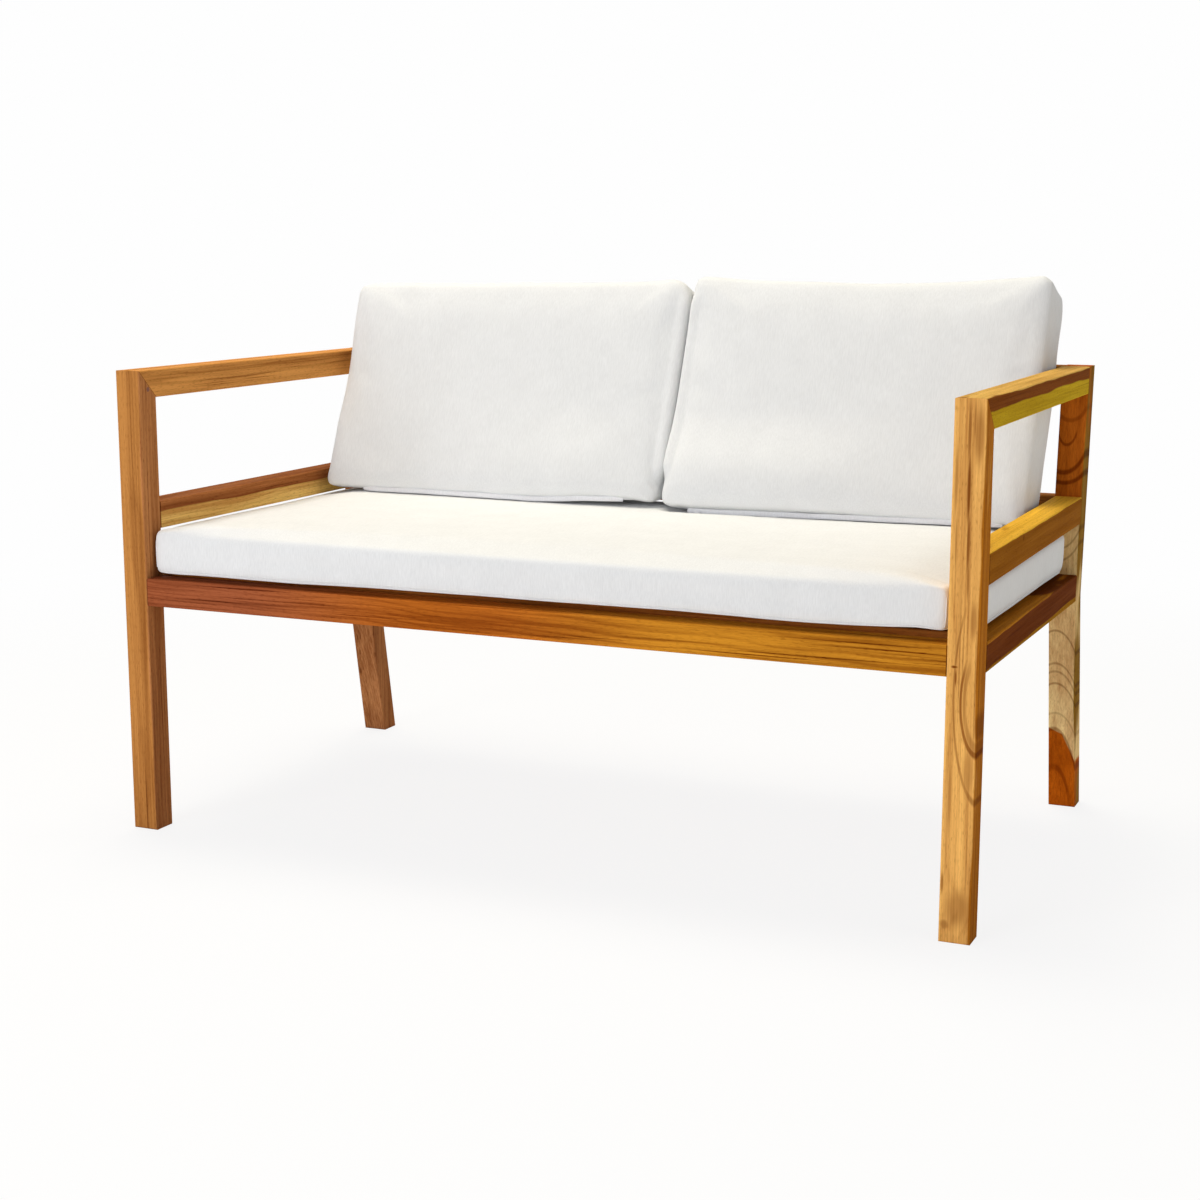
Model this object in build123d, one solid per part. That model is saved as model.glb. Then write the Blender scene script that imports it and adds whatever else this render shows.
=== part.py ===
from build123d import *
from math import cos, radians, sin, tan
import os

# Patio loveseat in oiled teak: two mitred arm frames joined by seat rails and back rails,
# a slatted seat deck, one long boxed seat cushion and two leaning back cushions.
# Lengths are in millimetres. X runs across the seat, -Y is the front, +Z is up.
# While it is being built, y = 0 is the front face of the front posts. Every finished
# piece is then moved so that the origin is under the middle of the bounding box.

os.makedirs("parts", exist_ok=True)

# Overall sizes
frame_width = 1260.0
arm_top = 678.0
depth_at_arm = 687.0

# Sawn timber sections
post_width = 40.0
post_depth = 40.0
leg_depth = 40.0
arm_height = 40.0
side_rail_height = 40.0
seat_rail_height = 40.0
front_rail_depth = 40.0
back_rail_height = 40.0
back_rail_depth = 30.0
eased_edge = 2.2
foot_chamfer = 2.0
long_edge_share = 0.3
edge_tilt_share = 0.5

# Levels and slopes
seat_rail_top = 378.0
side_rail_top = 487.0
seat_rail_fall = 6.0
kink_height = 338.0
upper_rake_deg = 6.0
lower_rake_deg = 10.4
back_rail_setback = 5.0

# Mortise and tenon joints
tenon_thick = 12.0
tenon_shoulder = 6.0
tenon_short = 12.0
tenon_long = 20.0
mortise_side_gap = 0.2
mortise_end_gap = 1.0
tenon_root = 5.0

# Seat deck
slat_width = 78.0
slat_least_gap = 12.0
slat_thick = 20.0
slat_proud = 5.0
slat_end_gap = 2.0
slat_edge = 3.0
cleat_width = 22.0
cleat_height = 25.0
bearer_width = 30.0
bearer_tenon = 8.0

# Dowels, pegs and screws
mitre_dowel_r = 4.0
mitre_dowel_length = 28.0
mitre_dowel_spread = 18.0
mitre_pin_r = 3.4
mitre_pin_length = 6.0
mitre_pin_y = 21.0
mitre_pin_drop = 27.5
dowel_gap = 0.1
screw_r = 2.0
screw_head_r = 4.0
screw_head_rim = 0.5
screw_head_depth = 2.5
screw_tip = 4.0
screw_gap = 0.1
slat_screw_length = 36.0
slat_screw_spread = 44.0
cleat_screw_length = 40.0
cleat_screw_count = 3
overrun = 10.0

# Seat cushion: a boxed cushion that lies on the slats between the front posts
cushion_gap = 0.3
seat_side_gap = 2.0
seat_front_inset = 12.0
seat_rear_gap = 4.0
seat_boxing = 66.0
seat_crown = 8.0
seat_crown_reach = 100.0
seat_corner_r = 32.0
seat_waist_pull = 2.0
seat_side_pull = 4.0
seat_base_round = 6.0

# Back cushions: they stand on the seat cushion and lean on the top back rail
back_height = 372.0
back_boxing = 88.0
back_crown_front = 20.0
back_crown_back = 4.0
back_lean_deg = 21.5
back_side_gap = 12.0
back_middle_gap = 5.0
back_join_offset = 24.0
back_waist_pull = 2.5
back_side_pull = 7.0
back_corner_r = 24.0

# Foam cores inside the covers
core_margin = 9.0
core_gap = 0.3

# A crown's slope: the back crown's reach as a share of the cushion's height, how much of an
# outline's inset its corners and the back cushions' feet take on, shares of a reach at which
# its slope is drawn, and how fast it flattens
back_reach_share = 0.32
seat_corner_inset_share = 0.5
back_corner_inset_share = 1 / 3
back_foot_inset_share = 0.5
crown_shares = (0.0, 0.07, 0.2, 0.45, 1.0)
crown_power = 2.6

# Worked-out places
half_width = frame_width / 2
inner_x = half_width - post_width
top_front = depth_at_arm - leg_depth
kink_front = top_front - (arm_top - kink_height) * tan(radians(upper_rake_deg))
foot_front = kink_front + kink_height * tan(radians(lower_rake_deg))
overall_depth = max(foot_front + leg_depth, depth_at_arm)
seat_rail_base = seat_rail_top - seat_rail_height
side_rail_base = side_rail_top - side_rail_height
arm_base = arm_top - arm_height
slat_top = seat_rail_top + slat_proud
slat_base = slat_top - slat_thick
cleat_base = slat_base - cleat_height


def leg_front(z):
    """y of the rear leg's front face at a height."""
    if z >= kink_height:
        return kink_front + (z - kink_height) * tan(radians(upper_rake_deg))
    return kink_front + (kink_height - z) * tan(radians(lower_rake_deg))


def leg_front_line(z_high, z_low):
    """Points down the rear leg's front face, with the kink where it is passed."""
    line = [(leg_front(z_high), z_high)]
    if z_low < kink_height < z_high:
        line.append((kink_front, kink_height))
    line.append((leg_front(z_low), z_low))
    return line


def foot_corners(front, depth, slope):
    """Outline of a foot from front to back, with its two lower corners taken off."""
    lift = foot_chamfer * slope
    return [
        (front - lift, foot_chamfer), (front + foot_chamfer, 0),
        (front + depth - foot_chamfer, 0), (front + depth - lift, foot_chamfer),
    ]


def save(shape, name):
    """Writes one piece, moved from the building frame to the part's own origin."""
    moved = Pos(0, -overall_depth / 2, 0) * shape
    export_step(moved, f"parts/{name}.step")


def box_between(low, high):
    """Box from its lowest to its highest corner."""
    size = [b - a for a, b in zip(low, high)]
    return Pos(*low) * Box(*size, align=(Align.MIN, Align.MIN, Align.MIN))


def side_profile(points, x_low, x_high):
    """Prism with a side view given as (y, z) points, from one x to another."""
    outline = make_face(Polyline(*[(x_low, y, z) for y, z in points], close=True))
    return extrude(outline, amount=x_high - x_low, dir=(1, 0, 0))


def ease(shape, direction):
    """Rounds the long edges of a bar, those that run mostly along a direction."""
    way = Vector(*direction)
    reach = shape.bounding_box().size.dot(Vector(*[abs(c) for c in direction]))
    long_edges = [
        e for e in shape.edges()
        if abs((e @ 1 - e @ 0).normalized().dot(way)) > 1 - edge_tilt_share
        and e.length > reach * long_edge_share
    ]
    return fillet(long_edges, eased_edge)


def pair(shape):
    """The piece as it is on the right, and its mirror image on the left."""
    return {"right": shape, "left": mirror(shape, about=Plane.YZ)}


# Joints: each tenon is stated once, with the gap that its mortise adds
def tenon_along_y(x_mid, z_base, height, shoulder_y, length, gap=0.0):
    """Tenon, or the mortise for it, that points along Y from a shoulder."""
    way = 1 if length > 0 else -1
    root = shoulder_y - way * (tenon_root if gap == 0 else overrun)
    tip = shoulder_y + length + way * (mortise_end_gap if gap else 0)
    low = (x_mid - tenon_thick / 2 - gap, min(root, tip), z_base + tenon_shoulder - gap)
    high = (x_mid + tenon_thick / 2 + gap, max(root, tip), z_base + height - tenon_shoulder + gap)
    return box_between(low, high)


def tenon_along_x(y_mid, z_base, height, gap=0.0):
    """Tenon, or its mortise, that points along X into the right-hand post or leg."""
    root = inner_x - (tenon_root if gap == 0 else overrun)
    tip = inner_x + tenon_long + (mortise_end_gap if gap else 0)
    low = (root, y_mid - tenon_thick / 2 - gap, z_base + tenon_shoulder - gap)
    high = (tip, y_mid + tenon_thick / 2 + gap, z_base + height - tenon_shoulder + gap)
    return box_between(low, high)


side_mid_x = inner_x + post_width / 2
side_rails = {
    "arm": (arm_base, arm_height),
    "side": (side_rail_base, side_rail_height),
    "seat": (seat_rail_base, seat_rail_height),
}
cross_rail_levels = {
    "back_top": arm_top - back_rail_height,
    "back_middle": side_rail_top - back_rail_height,
    "seat_back": seat_rail_top - back_rail_height,
}


def rear_tenon(level, gap=0.0):
    """Tenon of a side rail or an arm into the rear leg."""
    base, height = side_rails[level]
    drop = seat_rail_fall if level == "seat" else 0.0
    shoulder = leg_front(base - drop + height / 2)
    return tenon_along_y(side_mid_x, base - drop, height, shoulder, tenon_short, gap)


def front_tenon(level, gap=0.0):
    """Tenon of a side rail into the front post."""
    base, height = side_rails[level]
    return tenon_along_y(side_mid_x, base, height, post_depth, -tenon_short, gap)


def cross_rail_front(z_base):
    """y of the front face of a rail between the rear legs."""
    return leg_front(z_base + back_rail_height / 2) + back_rail_setback


def cross_rail_tenon(z_base, gap=0.0):
    """Right-hand tenon of a rail between the rear legs."""
    mid = cross_rail_front(z_base) + back_rail_depth / 2
    return tenon_along_x(mid, z_base, back_rail_height, gap)


def front_rail_tenon(gap=0.0):
    """Right-hand tenon of the front rail."""
    return tenon_along_x(front_rail_depth / 2, seat_rail_base, seat_rail_height, gap)


def both_sides(shape):
    """A right-hand shape together with its mirror image."""
    return shape + mirror(shape, about=Plane.YZ)


# Dowels, pins and pegs
def cylinder_from(start, direction, length, radius):
    """Round bar from a start point along a direction."""
    way = Vector(*direction).normalized()
    plane = Plane(origin=start, z_dir=way)
    return plane * Cylinder(radius, length, align=(Align.CENTER, Align.CENTER, Align.MIN))


def mitre_dowels(extra=0.0):
    """Two right-hand dowels square to the mitre, through its middle."""
    across = Vector(0, arm_height, post_depth).normalized()
    middle = Vector(side_mid_x, post_depth / 2, arm_top - arm_height / 2)
    bars = []
    for side in (-1, 1):
        start = middle - across * (mitre_dowel_length / 2 + extra)
        start += Vector(side * mitre_dowel_spread / 2, 0, 0)
        full = mitre_dowel_length + 2 * extra
        bars.append(cylinder_from(start, across, full, mitre_dowel_r + extra))
    return bars


def mitre_pin(extra=0.0):
    """Right-hand pin from the inner face of the front post, just under the mitre."""
    start = (inner_x, mitre_pin_y, arm_top - mitre_pin_drop)
    return cylinder_from(start, (1, 0, 0), mitre_pin_length + extra, mitre_pin_r + extra)


# Front posts
def front_post():
    outline = foot_corners(0, post_depth, 0) + [(post_depth, arm_base), (0, arm_top)]
    post = ease(side_profile(outline, inner_x, half_width), (0, 0, 1))
    for level in ("side", "seat"):
        post -= front_tenon(level, mortise_side_gap)
    post -= front_rail_tenon(mortise_side_gap)
    for bar in mitre_dowels(dowel_gap):
        post -= bar
    return post - mitre_pin(dowel_gap)


for side, piece in pair(front_post()).items():
    save(piece, f"front_post_{side}")


# Rear legs: one raked board each, bent at the seat
def rear_leg():
    front = leg_front_line(arm_top, 0)[:-1]
    back = [(y + leg_depth, z) for y, z in reversed(front)]
    foot = foot_corners(foot_front, leg_depth, tan(radians(lower_rake_deg)))
    leg = ease(side_profile(front + foot + back, inner_x, half_width), (0, 0, 1))
    for level in side_rails:
        leg -= rear_tenon(level, mortise_side_gap)
    for z_base in cross_rail_levels.values():
        leg -= cross_rail_tenon(z_base, mortise_side_gap)
    return leg


for side, piece in pair(rear_leg()).items():
    save(piece, f"rear_leg_{side}")


# Arms, upper side rails and seat side rails
def arm():
    outline = [(post_depth, arm_base), (0, arm_top)] + leg_front_line(arm_top, arm_base)
    bar = ease(side_profile(outline, inner_x, half_width), (0, 1, 0))
    bar += rear_tenon("arm")
    for dowel in mitre_dowels(dowel_gap):
        bar -= dowel
    return bar


def side_rail():
    top, base = side_rail_top, side_rail_base
    outline = [(post_depth, base), (post_depth, top)] + leg_front_line(top, base)
    bar = ease(side_profile(outline, inner_x, half_width), (0, 1, 0))
    return bar + front_tenon("side") + rear_tenon("side")


def cleat_screw_places():
    """y of each screw through a cleat, all in gaps between slats."""
    chosen = [round(i * slat_count / (cleat_screw_count - 1)) for i in range(cleat_screw_count)]
    return [gap_middle(i) for i in chosen]


def seat_side_rail():
    top, base = seat_rail_top, seat_rail_base
    outline = [(post_depth, base), (post_depth, top)]
    outline += leg_front_line(top - seat_rail_fall, base - seat_rail_fall)
    bar = ease(side_profile(outline, inner_x, half_width), (0, 1, 0))
    bar += front_tenon("seat")
    bar += rear_tenon("seat")
    for screw in cleat_screws(screw_gap):
        bar -= screw
    return bar


# Seat deck places
deck_front = front_rail_depth
deck_back = cross_rail_front(cross_rail_levels["seat_back"])
deck_depth = deck_back - deck_front
slat_count = int((deck_depth - slat_least_gap) / (slat_width + slat_least_gap))
slat_gap = (deck_depth - slat_count * slat_width) / (slat_count + 1)
cleat_mid_x = inner_x - cleat_width / 2


def slat_front(index):
    """y of the front edge of a slat."""
    return deck_front + slat_gap + index * (slat_width + slat_gap)


def gap_middle(index):
    """y of the middle of the gap in front of a slat, or behind the last one."""
    return slat_front(index) - slat_gap / 2


def screw(head, direction, length, extra=0.0):
    """Countersunk screw with its head's face at a point; extra makes its hole."""
    head_r, shank_r = screw_head_r + extra, screw_r + extra
    outline = Polyline(
        (0, -extra), (head_r, -extra), (head_r, screw_head_rim), (shank_r, screw_head_depth),
        (shank_r, length - screw_tip), (0, length + extra), close=True,
    )
    turned = revolve(make_face(Plane.XZ * outline), axis=Axis.Z)
    return Plane(origin=head, z_dir=Vector(*direction)) * turned


def slat_screw_heads(index):
    """Head places of one slat's screws: two at each cleat and two at the bearer."""
    middle = slat_front(index) + slat_width / 2
    return [
        (x, middle + way * slat_screw_spread / 2, slat_top)
        for x in (-cleat_mid_x, 0, cleat_mid_x) for way in (-1, 1)
    ]


def slat_screws(indices, extra=0.0):
    """Screws of some slats, or their holes."""
    heads = [head for i in indices for head in slat_screw_heads(i)]
    return [screw(head, (0, 0, -1), slat_screw_length, extra) for head in heads]


def cleat_screws(extra=0.0):
    """Screws through the right-hand cleat into its side rail, or their holes."""
    z = cleat_base + cleat_height / 2
    x = inner_x - cleat_width
    return [screw((x, y, z), (1, 0, 0), cleat_screw_length, extra) for y in cleat_screw_places()]


def seat_slat(index):
    low = (-inner_x + slat_end_gap, slat_front(index), slat_base)
    high = (inner_x - slat_end_gap, slat_front(index) + slat_width, slat_top)
    slat = box_between(low, high)
    slat = fillet(slat.edges().filter_by(Axis.X), slat_edge)
    for hole in slat_screws([index], screw_gap):
        slat -= hole
    return slat


def cleat():
    low = (inner_x - cleat_width, deck_front, cleat_base)
    high = (inner_x, deck_back, slat_base)
    bar = box_between(low, high)
    holes = slat_screws(range(slat_count), screw_gap) + cleat_screws(screw_gap)
    for hole in holes:
        bar -= hole
    return bar


def bearer_tenons(gap=0.0):
    """Stub tenons of the centre bearer into the front and back rails."""
    shrink = bearer_width / 2 - tenon_thick / 2
    reach = bearer_tenon + (mortise_end_gap if gap else 0)
    low = (-bearer_width / 2 + shrink - gap, deck_front - reach, cleat_base + tenon_shoulder - gap)
    high = (bearer_width / 2 - shrink + gap, deck_back + reach, slat_base - tenon_shoulder + gap)
    return box_between(low, high)


def centre_bearer():
    low = (-bearer_width / 2, deck_front, cleat_base)
    high = (bearer_width / 2, deck_back, slat_base)
    bar = box_between(low, high) + bearer_tenons()
    for hole in slat_screws(range(slat_count), screw_gap):
        bar -= hole
    return bar


for side, piece in pair(arm()).items():
    save(piece, f"arm_{side}")
for side, piece in pair(side_rail()).items():
    save(piece, f"side_rail_{side}")
for side, piece in pair(seat_side_rail()).items():
    save(piece, f"seat_side_rail_{side}")
for index in range(slat_count):
    save(seat_slat(index), f"seat_slat_{index + 1}")
for side, piece in pair(cleat()).items():
    save(piece, f"slat_cleat_{side}")
save(centre_bearer(), "centre_bearer")


# Rails that run across
def seat_front_rail():
    low = (-inner_x, 0, seat_rail_base)
    high = (inner_x, front_rail_depth, seat_rail_top)
    rail = ease(box_between(low, high), (1, 0, 0)) + both_sides(front_rail_tenon())
    return rail - bearer_tenons(mortise_side_gap)


def cross_rail(z_base):
    front = cross_rail_front(z_base)
    low = (-inner_x, front, z_base)
    high = (inner_x, front + back_rail_depth, z_base + back_rail_height)
    return ease(box_between(low, high), (1, 0, 0)) + both_sides(cross_rail_tenon(z_base))


save(seat_front_rail(), "seat_front_rail")
save(cross_rail(cross_rail_levels["seat_back"]) - bearer_tenons(mortise_side_gap), "seat_back_rail")
save(cross_rail(cross_rail_levels["back_middle"]), "back_rail_middle")
save(cross_rail(cross_rail_levels["back_top"]), "back_rail_top")


# Fasteners: like ones share a node
def group(solids):
    """Separate solids kept together as one piece of the list."""
    return Compound([one for s in solids for one in s.solids()])


def with_mirror(solids):
    """Right-hand solids and their mirror images."""
    return list(solids) + [mirror(s, about=Plane.YZ) for s in solids]


save(group(with_mirror(mitre_dowels())), "mitre_dowels")
save(group(with_mirror([mitre_pin()])), "mitre_pins")
save(group(slat_screws(range(slat_count))), "slat_screws")
save(group(with_mirror(cleat_screws())), "cleat_screws")


# Cushions: lofts through rounded outlines whose sides pull in between the corners
def hollow_side(start, end, pull):
    """Side of an outline, pulled in towards its left; straight where nothing pulls it."""
    if not pull:
        return Line(start, end)
    way = (Vector(*end) - Vector(*start)).normalized()
    middle = (Vector(*start) + Vector(*end)) / 2 + Vector(-way.Y, way.X) * pull
    return ThreePointArc(start, middle, end)


def soft_outline(low, high, corner, pull, base_pull):
    """Closed outline in a plane: round corners joined by slightly hollow sides."""
    (x0, y0), (x1, y1) = low, high
    bend = corner * (1 - cos(radians(45)))
    return make_face([
        hollow_side((x0 + corner, y0), (x1 - corner, y0), base_pull),
        ThreePointArc((x1 - corner, y0), (x1 - bend, y0 + bend), (x1, y0 + corner)),
        hollow_side((x1, y0 + corner), (x1, y1 - corner), pull),
        ThreePointArc((x1, y1 - corner), (x1 - bend, y1 - bend), (x1 - corner, y1)),
        hollow_side((x1 - corner, y1), (x0 + corner, y1), pull),
        ThreePointArc((x0 + corner, y1), (x0 + bend, y1 - bend), (x0, y1 - corner)),
        hollow_side((x0, y1 - corner), (x0, y0 + corner), pull),
        ThreePointArc((x0, y0 + corner), (x0 + bend, y0 + bend), (x0 + corner, y0)),
    ])


def crown_steps(height, reach):
    """Rise and inset of each outline over a crown, steep at the seam and flat on top."""
    return [(height * (1 - (1 - share) ** crown_power), reach * share) for share in crown_shares]


seat_base = slat_top + cushion_gap
seat_half = inner_x - seat_side_gap
seat_back = deck_back - seat_rear_gap
seat_top = seat_base + seat_boxing + seat_crown


def seat_section(level, inset):
    """Plan outline of the seat cushion at a height above its base."""
    corner = seat_corner_r + inset * seat_corner_inset_share
    low = (-seat_half + inset, seat_front_inset + inset)
    high = (seat_half - inset, seat_back - inset)
    outline = soft_outline(low, high, corner, seat_side_pull, seat_side_pull)
    return Pos(0, 0, seat_base + level) * outline


def seat_cushion():
    steps = [(0, seat_base_round), (seat_base_round, 0), (seat_boxing / 2, seat_waist_pull)]
    steps += [(seat_boxing + rise, inset) for rise, inset in crown_steps(seat_crown, seat_crown_reach)]
    return loft([seat_section(level, inset) for level, inset in steps], ruled=True)


def seat_core(extra=0.0):
    """Foam block inside the seat cushion's cover, or the hollow that holds it."""
    margin = core_margin - extra
    low = (-seat_half + margin, seat_front_inset + margin, seat_base + margin)
    high = (seat_half - margin, seat_back - margin, seat_base + seat_boxing - margin)
    block = box_between(low, high)
    return fillet(block.edges().filter_by(Axis.Z), seat_corner_r - core_margin)


save(seat_cushion() - seat_core(core_gap), "seat_cushion_cover")
save(seat_core(), "seat_cushion_core")

lean = radians(back_lean_deg)
back_rest_y = cross_rail_front(cross_rail_levels["back_top"]) - cushion_gap
back_base_z = seat_top + cushion_gap
back_base_y = back_rest_y - (arm_top - back_base_z) * tan(lean)
back_plane = Plane(
    origin=(0, back_base_y, back_base_z), x_dir=(1, 0, 0), z_dir=(0, -cos(lean), sin(lean)),
)
back_crown_reach = back_height * back_reach_share
back_front_seam = back_crown_back + back_boxing
back_top_v = back_height - back_front_seam * tan(lean)


def back_section(spans, out, inset):
    """Outline of a back cushion at a distance out from its back."""
    corner = back_corner_r + inset * back_corner_inset_share
    low = (spans[0] + inset, inset * back_foot_inset_share - out * tan(lean))
    high = (spans[1] - inset, back_top_v - inset)
    outline = soft_outline(low, high, corner, back_side_pull, 0)
    return back_plane * (Pos(0, 0, out) * outline)


def back_cushion(spans):
    steps = [
        (back_crown_back - rise, inset)
        for rise, inset in reversed(crown_steps(back_crown_back, back_crown_reach))
    ]
    steps.append((back_crown_back + back_boxing / 2, back_waist_pull))
    steps += [
        (back_front_seam + rise, inset)
        for rise, inset in crown_steps(back_crown_front, back_crown_reach)
    ]
    return loft([back_section(spans, out, inset) for out, inset in steps], ruled=True)


def back_core(spans, extra=0.0):
    """Foam block inside a back cushion's cover, or the hollow that holds it."""
    margin = core_margin + back_side_pull - extra
    outs = (back_crown_back + core_margin - extra, back_front_seam - core_margin + extra)
    corners = [(out, margin - out * tan(lean)) for out in outs]
    corners += [(out, back_top_v - margin) for out in reversed(outs)]
    outline = make_face(Polyline(*[(0, v, out) for out, v in corners], close=True))
    block = extrude(outline, amount=spans[1] - spans[0] - 2 * margin, dir=(1, 0, 0))
    return back_plane * (Pos(spans[0] + margin, 0, 0) * block)


back_spans = {
    "left": (-inner_x + back_side_gap, back_join_offset - back_middle_gap / 2),
    "right": (back_join_offset + back_middle_gap / 2, inner_x - back_side_gap),
}
for side, spans in back_spans.items():
    save(back_cushion(spans) - back_core(spans, core_gap), f"back_cushion_cover_{side}")
    save(back_core(spans), f"back_cushion_core_{side}")
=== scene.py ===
# %% [markdown]
# # A patio loveseat in oiled teak with three loose cushions
#
# The real object is a frame of square planed bars and three fabric cushions. The bars,
# rails, slats and screws arrive as finished CAD solids, so this script gives them their
# wood. The cushions arrive as plain closed shapes, so this script models them again as
# stuffed covers. Lengths are written in millimetres and turned to Blender's metres by mm.

# %% Load the frame
import math

import bmesh
import bpy
import numpy as np
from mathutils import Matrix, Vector, noise
from mathutils.bvhtree import BVHTree


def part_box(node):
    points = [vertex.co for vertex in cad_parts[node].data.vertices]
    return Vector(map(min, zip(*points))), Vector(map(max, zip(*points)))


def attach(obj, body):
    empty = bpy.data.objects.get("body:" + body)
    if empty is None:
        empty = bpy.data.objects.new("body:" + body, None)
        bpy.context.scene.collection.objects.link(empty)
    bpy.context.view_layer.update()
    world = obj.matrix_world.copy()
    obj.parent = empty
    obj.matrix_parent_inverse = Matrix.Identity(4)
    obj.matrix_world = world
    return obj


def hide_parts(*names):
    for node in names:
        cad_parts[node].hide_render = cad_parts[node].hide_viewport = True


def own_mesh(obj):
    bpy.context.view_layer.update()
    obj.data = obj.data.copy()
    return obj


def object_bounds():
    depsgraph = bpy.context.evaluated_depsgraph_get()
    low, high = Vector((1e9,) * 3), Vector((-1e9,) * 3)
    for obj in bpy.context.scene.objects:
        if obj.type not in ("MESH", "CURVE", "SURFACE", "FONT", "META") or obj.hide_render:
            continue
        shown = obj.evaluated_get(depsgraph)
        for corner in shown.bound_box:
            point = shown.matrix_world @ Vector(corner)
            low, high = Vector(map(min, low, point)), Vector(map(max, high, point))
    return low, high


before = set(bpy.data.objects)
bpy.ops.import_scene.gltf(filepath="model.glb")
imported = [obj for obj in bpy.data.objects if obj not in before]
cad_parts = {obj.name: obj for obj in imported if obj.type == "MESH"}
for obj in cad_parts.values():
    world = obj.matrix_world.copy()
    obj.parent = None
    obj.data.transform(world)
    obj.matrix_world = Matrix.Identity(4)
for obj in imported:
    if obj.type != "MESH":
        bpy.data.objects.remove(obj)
cad_low, cad_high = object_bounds()
mm = 0.001
front_y = cad_low.y          # front face of the front posts
print("CAD box:", tuple(round(c, 4) for c in (*cad_low, *cad_high)))


# %% [markdown]
# ## Camera
#
# The photo was taken from the front and a little to the right, at about chest height.
# The camera could be placed by eye, but here its azimuth, elevation, distance and lens
# come from the straight edges of the frame, which are level or upright in the real
# object, so the render lines up with the photo.

# %% Camera
camera_azimuth = math.radians(23.907)
camera_elevation = math.radians(10.254)
camera_distance = 2855.85 * mm
camera_target = Vector((37.2 * mm, front_y + 206.4 * mm, 358.8 * mm))
camera_lens = 60.38
camera_sensor = 36.0

camera_back = Vector((
    math.sin(camera_azimuth) * math.cos(camera_elevation),
    -math.cos(camera_azimuth) * math.cos(camera_elevation),
    math.sin(camera_elevation),
))
camera_data = bpy.data.cameras.new("camera")
camera_data.lens = camera_lens
camera_data.sensor_width = camera_sensor
camera = bpy.data.objects.new("camera", camera_data)
camera.location = camera_target + camera_back * camera_distance
camera.rotation_euler = (-camera_back).to_track_quat("-Z", "Y").to_euler()
bpy.context.scene.collection.objects.link(camera)
bpy.context.scene.camera = camera
bpy.context.scene.view_settings.view_transform = "Standard"
print("camera at", tuple(round(c, 3) for c in camera.location))


# %% [markdown]
# ## Two small helpers for materials
#
# Colours are written as sRGB hex values, as a paint chart gives them, and one function
# turns them to the linear values that the shader wants. A second one adds a node, sets
# it up and links it, so that a material reads as a list of steps.

# %% Colour and node helpers
def linear(hex_colour):
    """Linear RGBA from an sRGB hex value."""
    channels = [int(hex_colour[i:i + 2], 16) / 255 for i in (1, 3, 5)]
    curve = [c / 12.92 if c <= 0.04045 else ((c + 0.055) / 1.055) ** 2.4 for c in channels]
    return (*curve, 1.0)


def add(tree, kind, inputs=(), operation=None, **settings):
    """A new node. Its inputs come in order or by name: values, sockets, or nodes' first outputs."""
    node = tree.nodes.new(kind if "Node" in kind else "ShaderNode" + kind)
    if operation:
        node.operation = operation
    for key, value in settings.items():
        setattr(node, key, value)
    for key, value in inputs.items() if isinstance(inputs, dict) else enumerate(inputs):
        if isinstance(value, bpy.types.Node):
            value = value.outputs[0]
        if isinstance(value, bpy.types.NodeSocket):
            tree.links.new(value, node.inputs[key])
        else:
            node.inputs[key].default_value = value
    return node


def new_material(name):
    """A material with an empty node tree and its output node."""
    material = bpy.data.materials.new(name)
    material.use_nodes = True
    material.node_tree.nodes.clear()
    return material, material.node_tree


# %% [markdown]
# ## Floor, background and light
#
# The photo is a cut-out on white with a faint shadow. The floor is a large pale plane.
# Camera rays see it as mostly even white with a part of its real shading, so the shadow
# stays and the white needs no extra light on the object. The light is a broad warm lamp
# overhead, a cooler one from the front left, a weak one from the right, and an even sky.

# %% Floor
# Lengths in metres: the floor's edge, and how far from the middle its shadow is let through
floor_size = 40.0
floor_shading_share = 0.13
floor_shading_reach = 2.6
floor_fade = 1.6
floor_white = "#FEFEFE"


def seen_directly(tree):
    """1 where the camera looks, also by a mirror or through glass, and 0 for light on things."""
    rays = add(tree, "LightPath")
    mirrored = add(tree, "Math", [
        rays.outputs["Is Glossy Ray"], rays.outputs["Is Transmission Ray"],
    ], "MAXIMUM")
    return add(tree, "Math", [rays.outputs["Is Camera Ray"], mirrored], "MAXIMUM")


bpy.ops.mesh.primitive_plane_add(size=floor_size)
floor = bpy.context.object
floor.name = "floor"

floor_material, tree = new_material("pale_studio_floor")
place = add(tree, "TexCoord")
flat_place = add(tree, "VectorMath", [place.outputs["Object"], (1, 1, 0)], "MULTIPLY")
reach = add(tree, "VectorMath", [flat_place], "LENGTH")
share = add(tree, "MapRange", [
    reach.outputs["Value"], floor_shading_reach - floor_fade, floor_shading_reach,
    floor_shading_share, 0.0,
], interpolation_type="SMOOTHSTEP")
paper = add(tree, "BsdfDiffuse", {"Color": linear("#F4F4F4")})
white = add(tree, "Emission", {"Color": linear(floor_white), "Strength": 1.0})
seen = add(tree, "MixShader", [share, white, paper])
shown = add(tree, "MixShader", [seen_directly(tree), paper, seen])
add(tree, "OutputMaterial", {"Surface": shown})
floor.data.materials.append(floor_material)
print("floor:", floor_size, "m wide")

# %% Sky
sky_strength = 0.27
world = bpy.data.worlds.new("studio_sky")
world.use_nodes = True
tree = world.node_tree
tree.nodes.clear()
even = add(tree, "Background", {"Color": linear("#FFFFFF"), "Strength": sky_strength})
plain = add(tree, "Background", {"Color": linear(floor_white), "Strength": 1.0})
shown = add(tree, "MixShader", [seen_directly(tree), even, plain])
add(tree, "OutputWorld", {"Surface": shown})
bpy.context.scene.world = world
print("sky strength:", sky_strength)

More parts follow.
